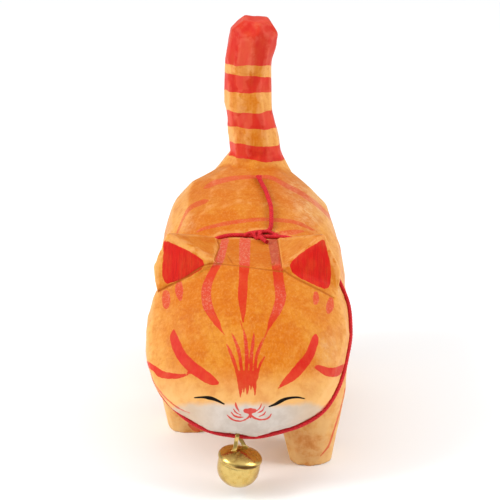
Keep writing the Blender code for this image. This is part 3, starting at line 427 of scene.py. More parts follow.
class Wood:
    """The dense wood surface as arrays, with what is needed to smooth and paint it."""

    def __init__(self):
        self.cad_points, self.cad_faces, made = node_arrays("carved_cat")
        self.cad_tree = BVHTree.FromBMesh(made)
        # the arrises that stay crisp: ears, crown, soles, cord groove
        hard = []
        for edge in made.edges:
            if len(edge.link_faces) == 2 and edge.calc_face_angle(0.0) > math.radians(33.0):
                a, b = edge.verts[0].co, edge.verts[1].co
                steps = max(2, int((b - a).length / 0.0005))
                hard.extend(a.lerp(b, k / steps) for k in range(steps + 1))
        self.hard = KDTree(len(hard))
        for index, place in enumerate(hard):
            self.hard.insert(place, index)
        self.hard.balance()
        made.free()

        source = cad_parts["carved_cat"].data.copy()
        obj = bpy.data.objects.new("wood_source", source)
        bpy.context.scene.collection.objects.link(obj)
        remesh = obj.modifiers.new("voxels", "REMESH")
        remesh.mode = "VOXEL"
        remesh.voxel_size = 0.72 * MM
        bpy.context.view_layer.update()
        graph = bpy.context.evaluated_depsgraph_get()
        self.mesh = bpy.data.meshes.new_from_object(obj.evaluated_get(graph))
        bpy.data.objects.remove(obj, do_unlink=True)
        self.read()

    def read(self):
        mesh = self.mesh
        count = len(mesh.vertices)
        flat = np.empty(count * 3)
        mesh.vertices.foreach_get("co", flat)
        self.points = flat.reshape(-1, 3) / MM
        ends = np.empty(len(mesh.edges) * 2, dtype=np.int64)
        mesh.edges.foreach_get("vertices", ends)
        ends = ends.reshape(-1, 2)
        self.ends = np.concatenate([ends, ends[:, ::-1]])
        self.valence = np.maximum(np.bincount(self.ends[:, 0], minlength=count), 1)

    def write(self):
        self.mesh.vertices.foreach_set("co", (self.points * MM).reshape(-1))
        self.mesh.update()

    def around(self, values):
        """Mean of each point's neighbours."""
        values = values.reshape(len(self.points), -1)
        out = np.stack(
            [
                np.bincount(self.ends[:, 0], weights=values[self.ends[:, 1], k], minlength=len(values))
                for k in range(values.shape[1])
            ],
            axis=1,
        )
        return out / self.valence[:, None]

    def normals(self):
        """Outward directions of the points, as the mesh stands now."""
        self.write()
        flat = np.empty(len(self.points) * 3)
        self.mesh.vertices.foreach_get("normal", flat)
        return flat.reshape(-1, 3)

    def snap(self):
        """Every point onto the faces of the CAD solid."""
        for index, place in enumerate(self.points):
            hit = self.cad_tree.find_nearest(Vector(place * MM))
            self.points[index] = np.array(hit[0]) / MM
        self.soles = self.points[:, 2] < 0.02

    def facet_tones_and_shade(self):
        """One tone for each flat cut of the knife, from -1 to 1: partly paint taken up differently, partly painted
        shade and sheen of the facets.
        """
        tones = np.zeros(len(self.points))
        for index, place in enumerate(self.points):
            facing = self.cad_tree.find_nearest(Vector(place * MM))[1]
            tones[index] = noise.noise(facing * 2.6 + Vector((3.1, 0.7, 5.3))) * 2.0
        tones = np.clip(tones, -1.0, 1.0)
        tones = self.around(tones)[:, 0] * 0.5 + tones * 0.5
        return tones

    def soften(self):
        """Rounds the ridges between facets a little, more on the face."""
        crisp = np.array([self.hard.find(Vector(p * MM))[2] for p in self.points]) / MM
        self.crisp = crisp
        free = smooth_step(0.35, 2.6, crisp)
        x, y, _ = to_view(self.points)
        normal = self.normals()
        facing = -(normal @ LOOK)
        face = (
            smooth_step(268, 292, y)
            * smooth_step(0.18, 0.4, facing)
            * smooth_step(6.0, 10.0, self.ahead(self.points))
        )
        self.face = face
        for k in range(44):
            weight = free * np.where(k < 4, 1.0, face)
            if k < 2:
                weight = np.maximum(weight, 0.5)
            self.points += (0.5 * weight)[:, None] * (self.around(self.points) - self.points)
        self.points[self.soles, 2] = 0.0
        self.points[:, 2] = np.maximum(self.points[:, 2], 0.0)

    @staticmethod
    def ahead(points):
        """How far in front of the collar's plane, in millimetres."""
        lean, turn = math.radians(46.4), math.radians(-6.0)
        forward = np.array([math.sin(turn) * math.cos(lean), -math.cos(turn) * math.cos(lean), math.sin(lean)])
        return (points - SHIFT - np.array([0.1, -11.5, 37.4])) @ forward

    def handwork(self):
        """Slight unevenness of a hand-cut surface."""
        normal = self.normals()
        push = np.zeros(len(self.points))
        for index, place in enumerate(self.points):
            broad = noise.noise(Vector(place * 0.16))
            fine = noise.noise(Vector((place[0] * 0.55, place[1] * 0.55, place[2] * 0.2 + 40.0)))
            push[index] = 0.11 * broad + 0.05 * fine
        push *= np.where(self.soles, 0.0, smooth_step(0.2, 1.2, self.crisp))
        push *= 1.0 - 0.35 * self.face
        self.points += normal * push[:, None]
        self.points[:, 2] = np.maximum(self.points[:, 2], 0.0)

    def seen(self):
        """Where each point is in the front view and how much it faces it."""
        x, y, depth = to_view(self.points)
        way = (self.points - EYE) / np.linalg.norm(self.points - EYE, axis=1)[:, None]
        facing = -np.sum(self.normals() * way, axis=1)
        return np.stack([x, y], axis=1), facing, FOCAL / depth

    def split(self, wanted):
        """Halves the edges of the faces that have a wanted point."""
        made = bmesh.new()
        self.write()
        made.from_mesh(self.mesh)
        made.verts.ensure_lookup_table()
        faces = [f for f in made.faces if any(wanted[v.index] for v in f.verts)]
        edges = {e for f in faces for e in f.edges}
        bmesh.ops.subdivide_edges(made, edges=list(edges), cuts=1, use_grid_fill=True)
        bmesh.ops.triangulate(made, faces=[f for f in made.faces if len(f.verts) > 4])
        made.to_mesh(self.mesh)
        made.free()
        self.read()


def stroke_fields(wood, xy, facing, px_per_mm):
    """Signed distances, in millimetres, to the edges of the paint on the wood."""
    points = wood.points
    ahead = wood.ahead(points)
    rel = points - SHIFT
    # which strokes can lie where: the head, the body, the face of the head
    head = ahead > 0.0
    body = (ahead < 1.0) & ~((rel[:, 2] > 68.5) & (np.hypot(rel[:, 0] - 0.3, rel[:, 1] - 52.3) < 9.0))
    # strokes run on a little round the sides and taper off there
    round_side = 3.2 * smooth_step(-0.02, -0.5, facing)

    def of(strokes, where, scale=1.0, limit=-0.5):
        best = np.full(len(points), 50.0)
        near = where & (facing > limit)
        for stroke in strokes:
            found = polyline_distance(xy[near], stroke, scale) / px_per_mm[near]
            best[near] = np.minimum(best[near], found)
        return np.minimum(best + round_side, 50.0)

    fields = {
        "forehead": of(FOREHEAD_STROKES, head),
        "dots": of(DOTS, head),
        "fan": of(FAN_STROKES + BRIDGE_STROKE, head),
        "cheek": of(CHEEK_STROKES + LOWER_CHEEK_STROKES, head),
        "back": of(BACK_STROKES, body),
        "threads": np.minimum(of(THREADS, head),
                              np.minimum(of(JAW_THREADS, head, limit=-0.1), of(LEG_THREADS, body, limit=-0.1))
                              + 2.4 * smooth_step(0.14, 0.0, facing)),
        "muzzle": of(NOSE + MOUTH + WHISKERS, head, limit=0.0),
        "eyes": of(EYES, head, limit=0.0),
        "cuts": of(CUTS, head, limit=0.0),
    }
    ears = np.full(len(points), 50.0)
    near = head & (facing > 0.0)
    ears[near] = np.minimum(polygon_distance(xy[near], RIGHT_EAR_RED),
                            polygon_distance(xy[near], LEFT_EAR_RED)) / px_per_mm[near]
    fields["ears"] = ears
    return fields


# rows of the front view where the tail's bands change, at its left edge, middle and right
# edge: red down to the first, orange down to the second, and so on
TAIL_ROWS = (
    (63.7, 66.0, 65.0), (73.0, 76.0, 77.6), (90.0, 93.0, 91.6), (108.7, 113.0, 108.7),
    (125.8, 129.0, 128.0), (140.5, 146.0, 143.6), (153.7, 161.5, 158.4),
)


def height_of_row(row, y):
    """Height above the ground of a point in that row of the front view, at depth y."""
    q = (250.0 - row) / FOCAL
    return 58.0 + (q * (DISTANCE + 0.9304 * y) - 0.3665 * y) / (0.9304 + 0.3665 * q)


def tail_middle(points):
    """The tail's middle and half width from front to back, level by level."""
    rel = points - SHIFT
    levels, middles = np.arange(70.0, 110.0, 2.0), []
    for level in levels:
        near = rel[(np.abs(rel[:, 2] - level) < 1.2) & (rel[:, 1] > 36.0)]
        low, high = near.min(0), near.max(0)
        middles.append(((low[0] + high[0]) / 2, (low[1] + high[1]) / 2, (high[1] - low[1]) / 2))
    return levels, np.array(middles)


TAIL = []


def tail_field(points):
    """Signed distance, up and down, to the red bands of the tail."""
    if not TAIL:
        TAIL.extend(tail_middle(points))
    levels, middles = TAIL
    rel = points - SHIFT
    z = rel[:, 2]
    mx = np.interp(z, levels, middles[:, 0])
    my = np.interp(z, levels, middles[:, 1])
    angle = np.arctan2(rel[:, 0] - mx, -(rel[:, 1] - my))
    wobble = 0.16 * np.sin(3.0 * angle + 0.13 * z) + 0.12 * np.sin(7.0 * angle + 0.4 * z)
    edges = []
    for left, middle, right in TAIL_ROWS:
        guess = height_of_row(middle, 48.0)
        y = np.interp(guess, levels, middles[:, 1])
        half = np.interp(guess, levels, middles[:, 2])
        front = height_of_row(middle, y - half)
        at_left, at_right = height_of_row(left, y), height_of_row(right, y)
        mean, tilt = (at_left + at_right) / 2, (at_right - at_left) / 2
        # past the sides the edge runs level round the back
        forward = np.where(np.cos(angle) > 0, np.cos(angle), 0.35 * np.cos(angle))
        edges.append(mean + (front - mean) * forward + tilt * np.sin(angle) + wobble)
    best = edges[0] - z
    for upper, lower in ((1, 2), (3, 4), (5, 6)):
        best = np.minimum(best, np.maximum(z - edges[upper], edges[lower] - z))
    radius = np.hypot(rel[:, 0] - mx, rel[:, 1] - my)
    on_tail = (z > 66.0) & (radius < 15.0)
    return np.where(on_tail, best, 50.0)


def side_strokes(wood):
    """Stripes of the flanks, haunches and legs that the front view doesn't show.

    Each is a list of directions round the body: distance along it, angle from the
    top down to a side, and width. They are found on the wood from outside.
    """
    plans = (
        # the two arcs of the back go on down the flanks
        (1, ((33.0, 62, 2.2), (31.5, 76, 2.4), (29.5, 92, 2.2), (28.0, 106, 0.6))),
        (-1, ((33.0, 56, 2.0), (31.5, 72, 2.4), (29.8, 90, 2.2), (28.6, 102, 0.6))),
        (1, ((15.0, 40, 0.8), (13.6, 56, 2.0), (12.2, 74, 2.6), (11.4, 92, 2.2), (11.6, 104, 0.6))),
        (-1, ((15.0, 34, 0.8), (13.4, 54, 2.0), (12.2, 74, 2.6), (11.6, 94, 2.2), (12.0, 106, 0.6))),
        (1, ((24.6, 50, 0.6), (22.8, 64, 2.4), (21.2, 80, 2.6), (20.4, 96, 0.7))),
        (-1, ((24.4, 44, 0.6), (22.6, 58, 2.4), (21.0, 76, 2.8), (20.2, 93, 0.7))),
        (1, ((40.6, 66, 0.5), (39.8, 73, 2.0), (38.6, 82, 2.5), (36.8, 93, 2.0), (35.6, 103, 0.5))),
        (-1, ((41.0, 58, 0.5), (40.2, 66, 2.0), (39.0, 77, 2.5), (37.0, 90, 2.0), (36.0, 101, 0.5))),
    )
    lines = []
    # arcs of the rump, round the root of the tail: rows of turn, height and width
    for plan in (
        ((-50, 55.0, 0.5), (-39, 57.6, 2.0), (-26, 58.8, 2.0), (-13, 58.0, 0.5)),
        ((49, 55.6, 0.5), (38, 58.0, 2.0), (25, 59.0, 2.0), (12, 58.0, 0.5)),
        ((-47, 45.0, 0.5), (-35, 47.6, 2.3), (-21, 48.2, 2.1), (-8, 46.6, 0.5)),
        ((46, 45.6, 0.5), (34, 48.0, 2.3), (20, 48.4, 2.1), (8, 46.6, 0.5)),
        ((-42, 35.4, 0.5), (-31, 37.6, 2.2), (-19, 37.8, 1.9), (-8, 36.2, 0.5)),
        ((41, 36.0, 0.5), (30, 38.0, 2.2), (18, 38.0, 1.9), (8, 36.2, 0.5)),
    ):
        line = []
        for turn, level, width in plan:
            a = math.radians(turn)
            way = np.array([math.sin(a), math.cos(a), 0.0])
            start = np.array([0.2, 36.0, level]) + SHIFT + way * 60.0
            hit = wood.cad_tree.ray_cast(Vector(start * MM), Vector(-way))
            if hit[0] is not None:
                line.append([*(np.array(hit[0]) / MM), width])
        if len(line) > 1:
            lines.append(curve_through(line, 0.8))
    for side, plan in plans:
        line = []
        for y, angle, width in plan:
            a = math.radians(angle)
            middle = np.array([0.2, y, 40.0]) + SHIFT
            way = np.array([side * math.sin(a), 0.0, math.cos(a)])
            start = middle + way * 60.0
            hit = wood.cad_tree.ray_cast(Vector(start * MM), Vector(-way))
            if hit[0] is not None:
                line.append([*(np.array(hit[0]) / MM), width])
        if len(line) > 1:
            lines.append(curve_through(line, 0.8))
    # rings and dashes on the outsides of the legs
    for side, x, y, low, high in ((1, 17.0, -11.6, 8.0, 21.0), (-1, -17.7, 8.6, 9.0, 21.0),
                                  (1, 16.8, 42.0, 10.0, 25.0), (-1, -17.0, 37.0, 9.5, 24.0)):
        for level in (low, (low + high) / 2, high) if y > 30.0 else (low, (low + high) / 2 + 0.8):
            line = []
            for turn in (-14, 4, 22, 42):
                a = math.radians(turn)
                way = np.array([side * math.cos(a), math.sin(a), 0.0])
                start = np.array([x, y, level - 0.03 * turn]) + SHIFT + way * 40.0
                hit = wood.cad_tree.ray_cast(Vector(start * MM), Vector(-way))
                if hit[0] is not None:
                    width = 2.0 * math.cos(math.radians((turn - 14) * 2.6)) + 0.3
                    line.append([*(np.array(hit[0]) / MM), max(width, 0.4)])
            if len(line) > 2:
                lines.append(curve_through(line, 0.8))
    return lines


SIDE_LINES = []


def paint_fields(wood):
    xy, facing, px_per_mm = wood.seen()
    fields = stroke_fields(wood, xy, facing, px_per_mm)
    side = np.full(len(wood.points), 50.0)
    for line in SIDE_LINES:
        side = np.minimum(side, capsule_distance(wood.points, line))
    # these stay behind the collar and off what the front view shows
    side += 3.0 * smooth_step(-1.2, 0.6, wood.ahead(wood.points))
    side += 2.6 * smooth_step(0.0, 0.3, facing)
    fields["tail"] = tail_field(wood.points)
    fields["side"] = side
    return xy, facing, fields


wood = Wood()
wood.snap()
wood.soften()
wood.handwork()
wood.points += jaw_fill(wood.points)
SIDE_LINES.extend(side_strokes(wood))

# more points along the thin strokes, so that their edges come out clean
for reach, fine in ((0.85, ("eyes", "muzzle", "threads", "cuts", "fan")),
                    (0.40, ("eyes", "muzzle", "threads", "cuts"))):
    xy, facing, fields = paint_fields(wood)
    near = np.zeros(len(wood.points), dtype=bool)
    for key in fine:
        near |= np.abs(fields[key]) < reach
    wood.split(near)

# the knife's cuts
xy, facing, fields = paint_fields(wood)
normal = wood.normals()
depth = smooth_step(0.12, -0.28, fields["cuts"]) * 0.20
depth += 0.08 * np.exp(-((np.maximum(fields["cuts"], 0.0) / 0.3) ** 2))
wood.points -= normal * depth[:, None]
wood.points[:, 2] = np.maximum(wood.points[:, 2], 0.0)
wood.write()


def bend_of(wood, passes):
    """How much each point stands out of (or lies in) its surroundings, in millimetres."""
    flat = wood.points.copy()
    for _ in range(passes):
        flat += 0.5 * (wood.around(flat) - flat)
    return np.sum((wood.points - flat) * wood.normals(), axis=1)


STRENGTH = {"forehead": 0.86, "dots": 0.8, "fan": 0.9, "cheek": 0.96, "back": 0.60, "threads": 0.75,
            "muzzle": 0.92, "ears": 1.0, "tail": 0.97, "side": 0.60}
red = np.full(len(wood.points), 50.0)
strength = np.zeros(len(wood.points))
for key, value in STRENGTH.items():
    closer = fields[key] < red
    red = np.where(closer, fields[key], red)
    strength = np.where(closer, value, strength)

px, py = xy[:, 0], xy[:, 1]
on_strokes = (fields["forehead"] < 1.0).astype(float)
# paint that has rubbed thin, and painted sheen: above the brow, where the crown faces up to the light, the paler red
# is painted sheen as well as wear, and where the outer stripes bow out it is wear
worn_and_sheen = smooth_step(267.0, 262.0, py) * smooth_step(232, 238, py) * on_strokes
worn_and_sheen += 0.55 * smooth_step(22.0, 8.0, np.abs(py - 296.0)) * on_strokes * (px < 225)
worn_and_sheen += 0.40 * smooth_step(24.0, 8.0, np.abs(py - 300.0)) * on_strokes * (px > 262)
worn_and_sheen += 0.45 * (fields["dots"] < 1.0)
worn_and_sheen += 0.25 * (fields["fan"] < 1.0) * smooth_step(366.0, 350.0, py)
worn_and_sheen += 0.5 * (fields["back"] < 1.0)
worn_and_sheen = np.clip(worn_and_sheen, 0.0, 1.0)
# the pale muzzle, from below the eyes to the cord
rel = wood.points - SHIFT
in_front = wood.ahead(wood.points) > 0.2
muzzle_line = np.interp(px, (140, 160, 176, 192, 215, 235, 250, 266, 290, 306, 322, 340),
                        (418, 412, 405.5, 401.5, 402, 403, 402.5, 403.5, 403.5, 401.5, 405, 414))
muzzle = smooth_step(muzzle_line - 7.0, muzzle_line + 10.0, py) * in_front * (rel[:, 2] < 40.0)

leg_zone = smooth_step(34.0, 15.0, rel[:, 2]) * (wood.ahead(wood.points) < 0.3)
# pale patches: painted sheen of the light on the back, and rubbed scratches on the cat's left cheek
scratches_and_sheen = 0.9 * np.exp(-(((px - 312.0) / 18.0) ** 2 + ((py - 205.0) / 22.0) ** 2))
scratches_and_sheen += 0.5 * np.exp(-(((px - 292.0) / 9.0) ** 2 + ((py - 186.0) / 8.0) ** 2))
scratches_and_sheen += 0.6 * np.exp(-(((px - 186.0) / 8.0) ** 2 + ((py - 222.0) / 10.0) ** 2))
scratches_and_sheen *= (wood.ahead(wood.points) < 0.3) * smooth_step(0.0, 0.2, facing)
scratches_and_sheen += 0.6 * np.exp(-(((px - 329.0) / 11.0) ** 2 + ((py - 350.0) / 14.0) ** 2)) * in_front * (facing > 0)
pale_zone = smooth_step(362.0, 406.0, py + 5.0 * smooth_step(30.0, 80.0, np.abs(px - 247.0))) * in_front \
    * smooth_step(0.0, 0.25, facing)

ridge = bend_of(wood, 14)
for name, values in (
    ("red_edge", red),
    ("red_strength", strength),
    ("black_edge", fields["eyes"]),
    ("cut_shade_edge", fields["cuts"]),
    ("worn_paint_and_sheen", worn_and_sheen),
    ("muzzle_paint", muzzle.astype(float)),
    ("muzzle_side", smooth_step(26.0, 66.0, np.abs(px - 250.0))),
    ("dark_stripe", smooth_step(267.0, 260.0, py) * smooth_step(266.0, 269.0, px) * on_strokes),
    ("ridge", ridge),
    ("pale_zone", pale_zone),
    ("leg_zone", leg_zone),
    ("scratches_and_sheen", scratches_and_sheen),
    ("facet_tone_and_shade", wood.facet_tones_and_shade() * (1.0 - 0.6 * smooth_step(268, 292, py)
                                         * smooth_step(6.0, 10.0, wood.ahead(wood.points)))
     * (1.0 + 0.9 * smooth_step(66.0, 72.0, rel[:, 2]))),
    ("sole", ((wood.points[:, 2] < 0.05) & (wood.normals()[:, 2] < -0.9)).astype(float)),
    ("ear_paint", (fields["ears"] < 0.5).astype(float)),
):
    layer = wood.mesh.attributes.new(name, "FLOAT", "POINT")
    layer.data.foreach_set("value", values.astype(np.float32))


def wood_material():
    n = Nodes("painted_wood")
    place = n.place()
    geometry = n.node("ShaderNodeNewGeometry")
    split = n.node("ShaderNodeSeparateXYZ")
    n.link(geometry.outputs["Normal"], split.inputs[0])
    flatness = n.math("POWER", n.math("ABSOLUTE", split.outputs[2]), 4.0)

    # clouds of the thin paint, fibres of the wood along its height, pores of the end grain
    clouds = n.noise(place, 75.0, 4.0, 0.6, 0.5)
    blotches = n.noise(place, 230.0, 4.0, 0.65, 0.3)
    mottle = n.noise(place, 900.0, 3.0, 0.7)
    fibres = n.noise(n.stretched(place, (1900.0, 1900.0, 80.0)), 1.0, 3.0, 0.65)
    broad_fibres = n.noise(n.stretched(place, (520.0, 520.0, 24.0)), 1.0, 2.0, 0.5)
    brushed = n.noise(n.stretched(place, (120.0, 900.0, 900.0), rotation=(0.0, 0.25, 0.1)), 1.0, 3.0, 0.6)
    pores = n.noise(place, 2300.0, 2.0, 0.7)

    light = (0.668, 0.256, 0.024, 1.0)
    middle = (0.615, 0.172, 0.006, 1.0)
    deep = (0.505, 0.104, 0.003, 1.0)
    pale = (0.765, 0.405, 0.118, 1.0)
    base = n.mix(n.range(clouds, 0.40, 0.58), light, middle)
    base = n.mix(n.math("MULTIPLY", n.range(blotches, 0.50, 0.68), 0.50), base, deep)
    base = n.mix(n.math("MULTIPLY", n.range(blotches, 0.46, 0.32), 0.34), base, (0.72, 0.32, 0.052, 1.0))
    # end grain drinks more paint, side grain less
    base = n.mix(n.math("MULTIPLY", flatness, 0.68), base, deep)
    # surfaces facing left and right are painted paler: painted light from the side lamps
    painted_side_light = n.range(n.math("ABSOLUTE", split.outputs[0]), 0.35, 0.95)
    base = n.mix(n.math("MULTIPLY", painted_side_light, 0.80), base, pale)
    # each cut of the knife took the paint a little differently, and each facet also gets painted shade and sheen of
    # its own
    tone = n.attribute("facet_tone_and_shade")
    base = n.mix(n.math("MULTIPLY", n.range(tone, 0.05, 1.6), 0.40), base, pale)
    base = n.mix(n.math("MULTIPLY", n.range(tone, -0.05, -1.6), 0.34), base, deep)
    streak = n.range(fibres, 0.42, 0.70)
    base = n.mix(n.math("MULTIPLY", streak, 0.15), base, (0.84, 0.46, 0.16, 1.0))
    streak2 = n.range(broad_fibres, 0.5, 0.75)
    base = n.mix(n.math("MULTIPLY", streak2, 0.34), base, (0.52, 0.12, 0.006, 1.0))
    base = n.mix(n.math("MULTIPLY", n.range(brushed, 0.50, 0.70), 0.30), base, deep)
    base = n.mix(n.math("MULTIPLY", n.range(mottle, 0.46, 0.66), 0.24), base, (0.50, 0.105, 0.003, 1.0))
    base = n.mix(n.math("MULTIPLY", n.range(mottle, 0.46, 0.34), 0.17), base, (0.76, 0.38, 0.10, 1.0))
    # arrises rub pale and get a painted highlight; hollows are painted darker, as painted shade
    ridge = n.attribute("ridge")
    high = n.range(ridge, 0.03, 0.14)
    low = n.range(ridge, -0.03, -0.15)
    rub = n.range(n.noise(place, 420.0, 3.0, 0.6), 0.36, 0.58)
    base = n.mix(n.math("MULTIPLY", n.math("MULTIPLY", high, rub), 0.34), base, (0.86, 0.48, 0.18, 1.0))
    base = n.mix(n.math("MULTIPLY", low, 0.36), base, (0.50, 0.10, 0.004, 1.0))

    # thinner paint on the legs; rubbed and scratched places, and painted sheen of the light on the back
    base = n.mix(n.math("MULTIPLY", n.attribute("leg_zone"), n.range(blotches, 0.68, 0.38, 0.25, 0.75)),
                 base, (0.770, 0.485, 0.205, 1.0))
    scratch = n.noise(n.stretched(place, (700.0, 700.0, 130.0), rotation=(0.0, 0.9, 0.5)), 1.0, 4.0, 0.7)
    rubbed_and_sheen = n.math("MULTIPLY", n.attribute("scratches_and_sheen"), n.range(scratch, 0.44, 0.60, 0.25, 0.80))
    base = n.mix(rubbed_and_sheen, base, (0.740, 0.470, 0.220, 1.0))

    # the orange thins to a pale yellow above the muzzle
    zone = n.attribute("pale_zone")
    zone = n.math("MULTIPLY", zone, n.range(blotches, 0.72, 0.36, 0.55, 0.92))
    base = n.mix(zone, base, (0.800, 0.445, 0.160, 1.0))

    # pale muzzle
    muzzle_noise = n.noise(place, 330.0, 3.0, 0.6)
    muzzle = n.attribute("muzzle_paint")
    soft = n.math("ADD", muzzle, n.math("MULTIPLY", n.math("SUBTRACT", muzzle_noise, 0.5), 0.6))
    soft = n.math("MULTIPLY", n.range(soft, 0.20, 0.82), n.range(muzzle, 0.0, 0.14))
    white = n.mix(n.range(muzzle_noise, 0.35, 0.65), (0.625, 0.552, 0.492, 1.0), (0.552, 0.472, 0.412, 1.0))
    white = n.mix(n.math("MULTIPLY", n.attribute("muzzle_side"), 0.85), white, (0.600, 0.432, 0.292, 1.0))
    base = n.mix(n.math("MULTIPLY", soft, 0.96), base, white)

    # the red strokes
    edge_noise = n.noise(place, 900.0, 2.0, 0.5)
    edge = n.math("ADD", n.attribute("red_edge"), n.math("MULTIPLY", n.math("SUBTRACT", edge_noise, 0.5), 0.40))
    inside = n.range(edge, 0.07, -0.07)
    worn_and_sheen = n.attribute("worn_paint_and_sheen")
    speck = n.range(n.noise(place, 1700.0, 4.0, 0.8), 0.50, 0.62)
    thin = n.range(n.noise(n.stretched(place, (420.0, 420.0, 130.0)), 1.0, 3.0, 0.6), 0.40, 0.70)
    strength = n.attribute("red_strength")
    cover = n.math("SUBTRACT", strength, n.math("MULTIPLY", thin, 0.09))
    cover = n.math("SUBTRACT", cover, n.math("MULTIPLY", worn_and_sheen, n.math("MULTIPLY", speck, 0.20)))
    cover = n.math("MULTIPLY", inside, cover, clamp=True)
    red = n.mix(n.range(clouds, 0.36, 0.64), (0.620, 0.022, 0.015, 1.0), (0.560, 0.010, 0.007, 1.0))
    # pale, pinkish red where the paint is rubbed thin, and painted sheen above the brow
    red = n.mix(n.math("MULTIPLY", worn_and_sheen, 0.50), red, (0.640, 0.110, 0.075, 1.0))
    red = n.mix(n.math("MULTIPLY", n.math("MULTIPLY", worn_and_sheen, speck), 0.62), red, (0.780, 0.400, 0.310, 1.0))
    red = n.mix(n.math("MULTIPLY", n.attribute("dark_stripe"), n.range(speck, 0.0, 1.0, 0.85, 0.55)),
                red, (0.380, 0.060, 0.038, 1.0))
    # the red too is lighter or darker facet by facet: partly paint, partly painted shade and sheen
    red = n.mix(n.math("MULTIPLY", n.range(tone, 0.1, 1.1), 0.42), red, (0.740, 0.095, 0.060, 1.0))
    red = n.mix(n.math("MULTIPLY", n.range(tone, -0.1, -1.1), 0.55), red, (0.500, 0.008, 0.006, 1.0))
    red = n.mix(n.math("MULTIPLY", streak, 0.07), red, (0.72, 0.10, 0.06, 1.0))
    # pale arrises on the red: rubbed paint and a painted highlight
    red = n.mix(n.math("MULTIPLY", n.math("MULTIPLY", high, rub), 0.17), red, (0.80, 0.20, 0.13, 1.0))
    # the ears were cut out with short upright strokes
    gouges = n.noise(n.stretched(place, (2900.0, 150.0, 150.0)), 1.0, 2.0, 0.6)
    in_ear = n.attribute("ear_paint")
    red = n.mix(n.math("MULTIPLY", in_ear, 0.85), red, (0.590, 0.010, 0.006, 1.0))
    ear_line = n.math("MULTIPLY", in_ear, n.range(gouges, 0.50, 0.62))
    red = n.mix(n.math("MULTIPLY", ear_line, 0.42), red, (0.410, 0.007, 0.006, 1.0))
    base = n.mix(cover, base, red)

    # the closed eyes, and painted shade in the knife's cuts
    eye_edge = n.math("ADD", n.attribute("black_edge"), n.math("MULTIPLY", n.math("SUBTRACT", edge_noise, 0.5), 0.10))
    base = n.mix(n.range(eye_edge, 0.06, -0.03), base, (0.006, 0.004, 0.003, 1.0))
    cut = n.range(n.attribute("cut_shade_edge"), 0.08, -0.14)
    base = n.mix(n.math("MULTIPLY", cut, 0.72), base, (0.420, 0.100, 0.007, 1.0))
    # the soles were never painted
    bare = n.mix(n.range(broad_fibres, 0.4, 0.65), (0.62, 0.42, 0.23, 1.0), (0.50, 0.31, 0.15, 1.0))
    base = n.mix(n.range(n.attribute("sole"), 0.4, 0.7), base, bare)

    n.link(base, n.shader.inputs["Base Color"])
    gloss = n.range(n.noise(place, 260.0, 3.0, 0.6), 0.3, 0.7, 0.36, 0.54, smooth=False)
    n.link(gloss, n.shader.inputs["Roughness"])
    n.shader.inputs["Specular IOR Level"].default_value = 0.10

    # relief of the fibres and of the brush
    bump = n.node("ShaderNodeBump")
    bump.inputs["Strength"].default_value = 0.40
    bump.inputs["Distance"].default_value = 0.00014
    relief = n.math("ADD", n.math("MULTIPLY", fibres, 0.6), n.math("MULTIPLY", broad_fibres, 0.8))
    relief = n.math("ADD", relief, n.math("MULTIPLY", n.math("MULTIPLY", pores, flatness), 0.5))
    relief = n.math("ADD", relief, n.math("MULTIPLY", n.math("MULTIPLY", gouges, in_ear), 2.4))
    n.link(relief, bump.inputs["Height"])
    n.link(bump.outputs[0], n.shader.inputs["Normal"])
    return n.material


cat = bpy.data.objects.new("cat", wood.mesh)
bpy.context.scene.collection.objects.link(cat)
wood.mesh.materials.clear()
wood.mesh.materials.append(wood_material())
wood.mesh.shade_smooth()
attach(cat, "root")
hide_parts("carved_cat")


# ---------------------------------------------------------------- the braided cord

CORD_RADIUS = 0.6


def braid_material():
    n = Nodes("red_braid")
    place = n.place()
    groove = n.attribute("braid_groove_shade")
    tone = n.noise(place, 900.0, 2.0, 0.5)
    thread = n.noise(n.stretched(place, (5200.0, 5200.0, 5200.0)), 1.0, 2.0, 0.6)
    base = n.mix(n.range(tone, 0.35, 0.65), (0.560, 0.006, 0.012, 1.0), (0.720, 0.014, 0.022, 1.0))
    base = n.mix(n.math("MULTIPLY", n.range(thread, 0.45, 0.75), 0.35), base, (0.84, 0.06, 0.07, 1.0))
    # painted shade in the grooves between the strands
    base = n.mix(n.math("MULTIPLY", groove, 0.75), base, (0.24, 0.002, 0.006, 1.0))
    n.link(base, n.shader.inputs["Base Color"])
    n.shader.inputs["Roughness"].default_value = 0.62
    n.shader.inputs["Specular IOR Level"].default_value = 0.25
    n.shader.inputs["Sheen Weight"].default_value = 0.12
    n.shader.inputs["Sheen Roughness"].default_value = 0.4
    n.shader.inputs["Sheen Tint"].default_value = (1.0, 0.45, 0.45, 1.0)
    bump = n.node("ShaderNodeBump")
    bump.inputs["Strength"].default_value = 0.35
    bump.inputs["Distance"].default_value = 0.00005
    n.link(thread, bump.inputs["Height"])
    n.link(bump.outputs[0], n.shader.inputs["Normal"])
    return n.material


BRAID = braid_material()


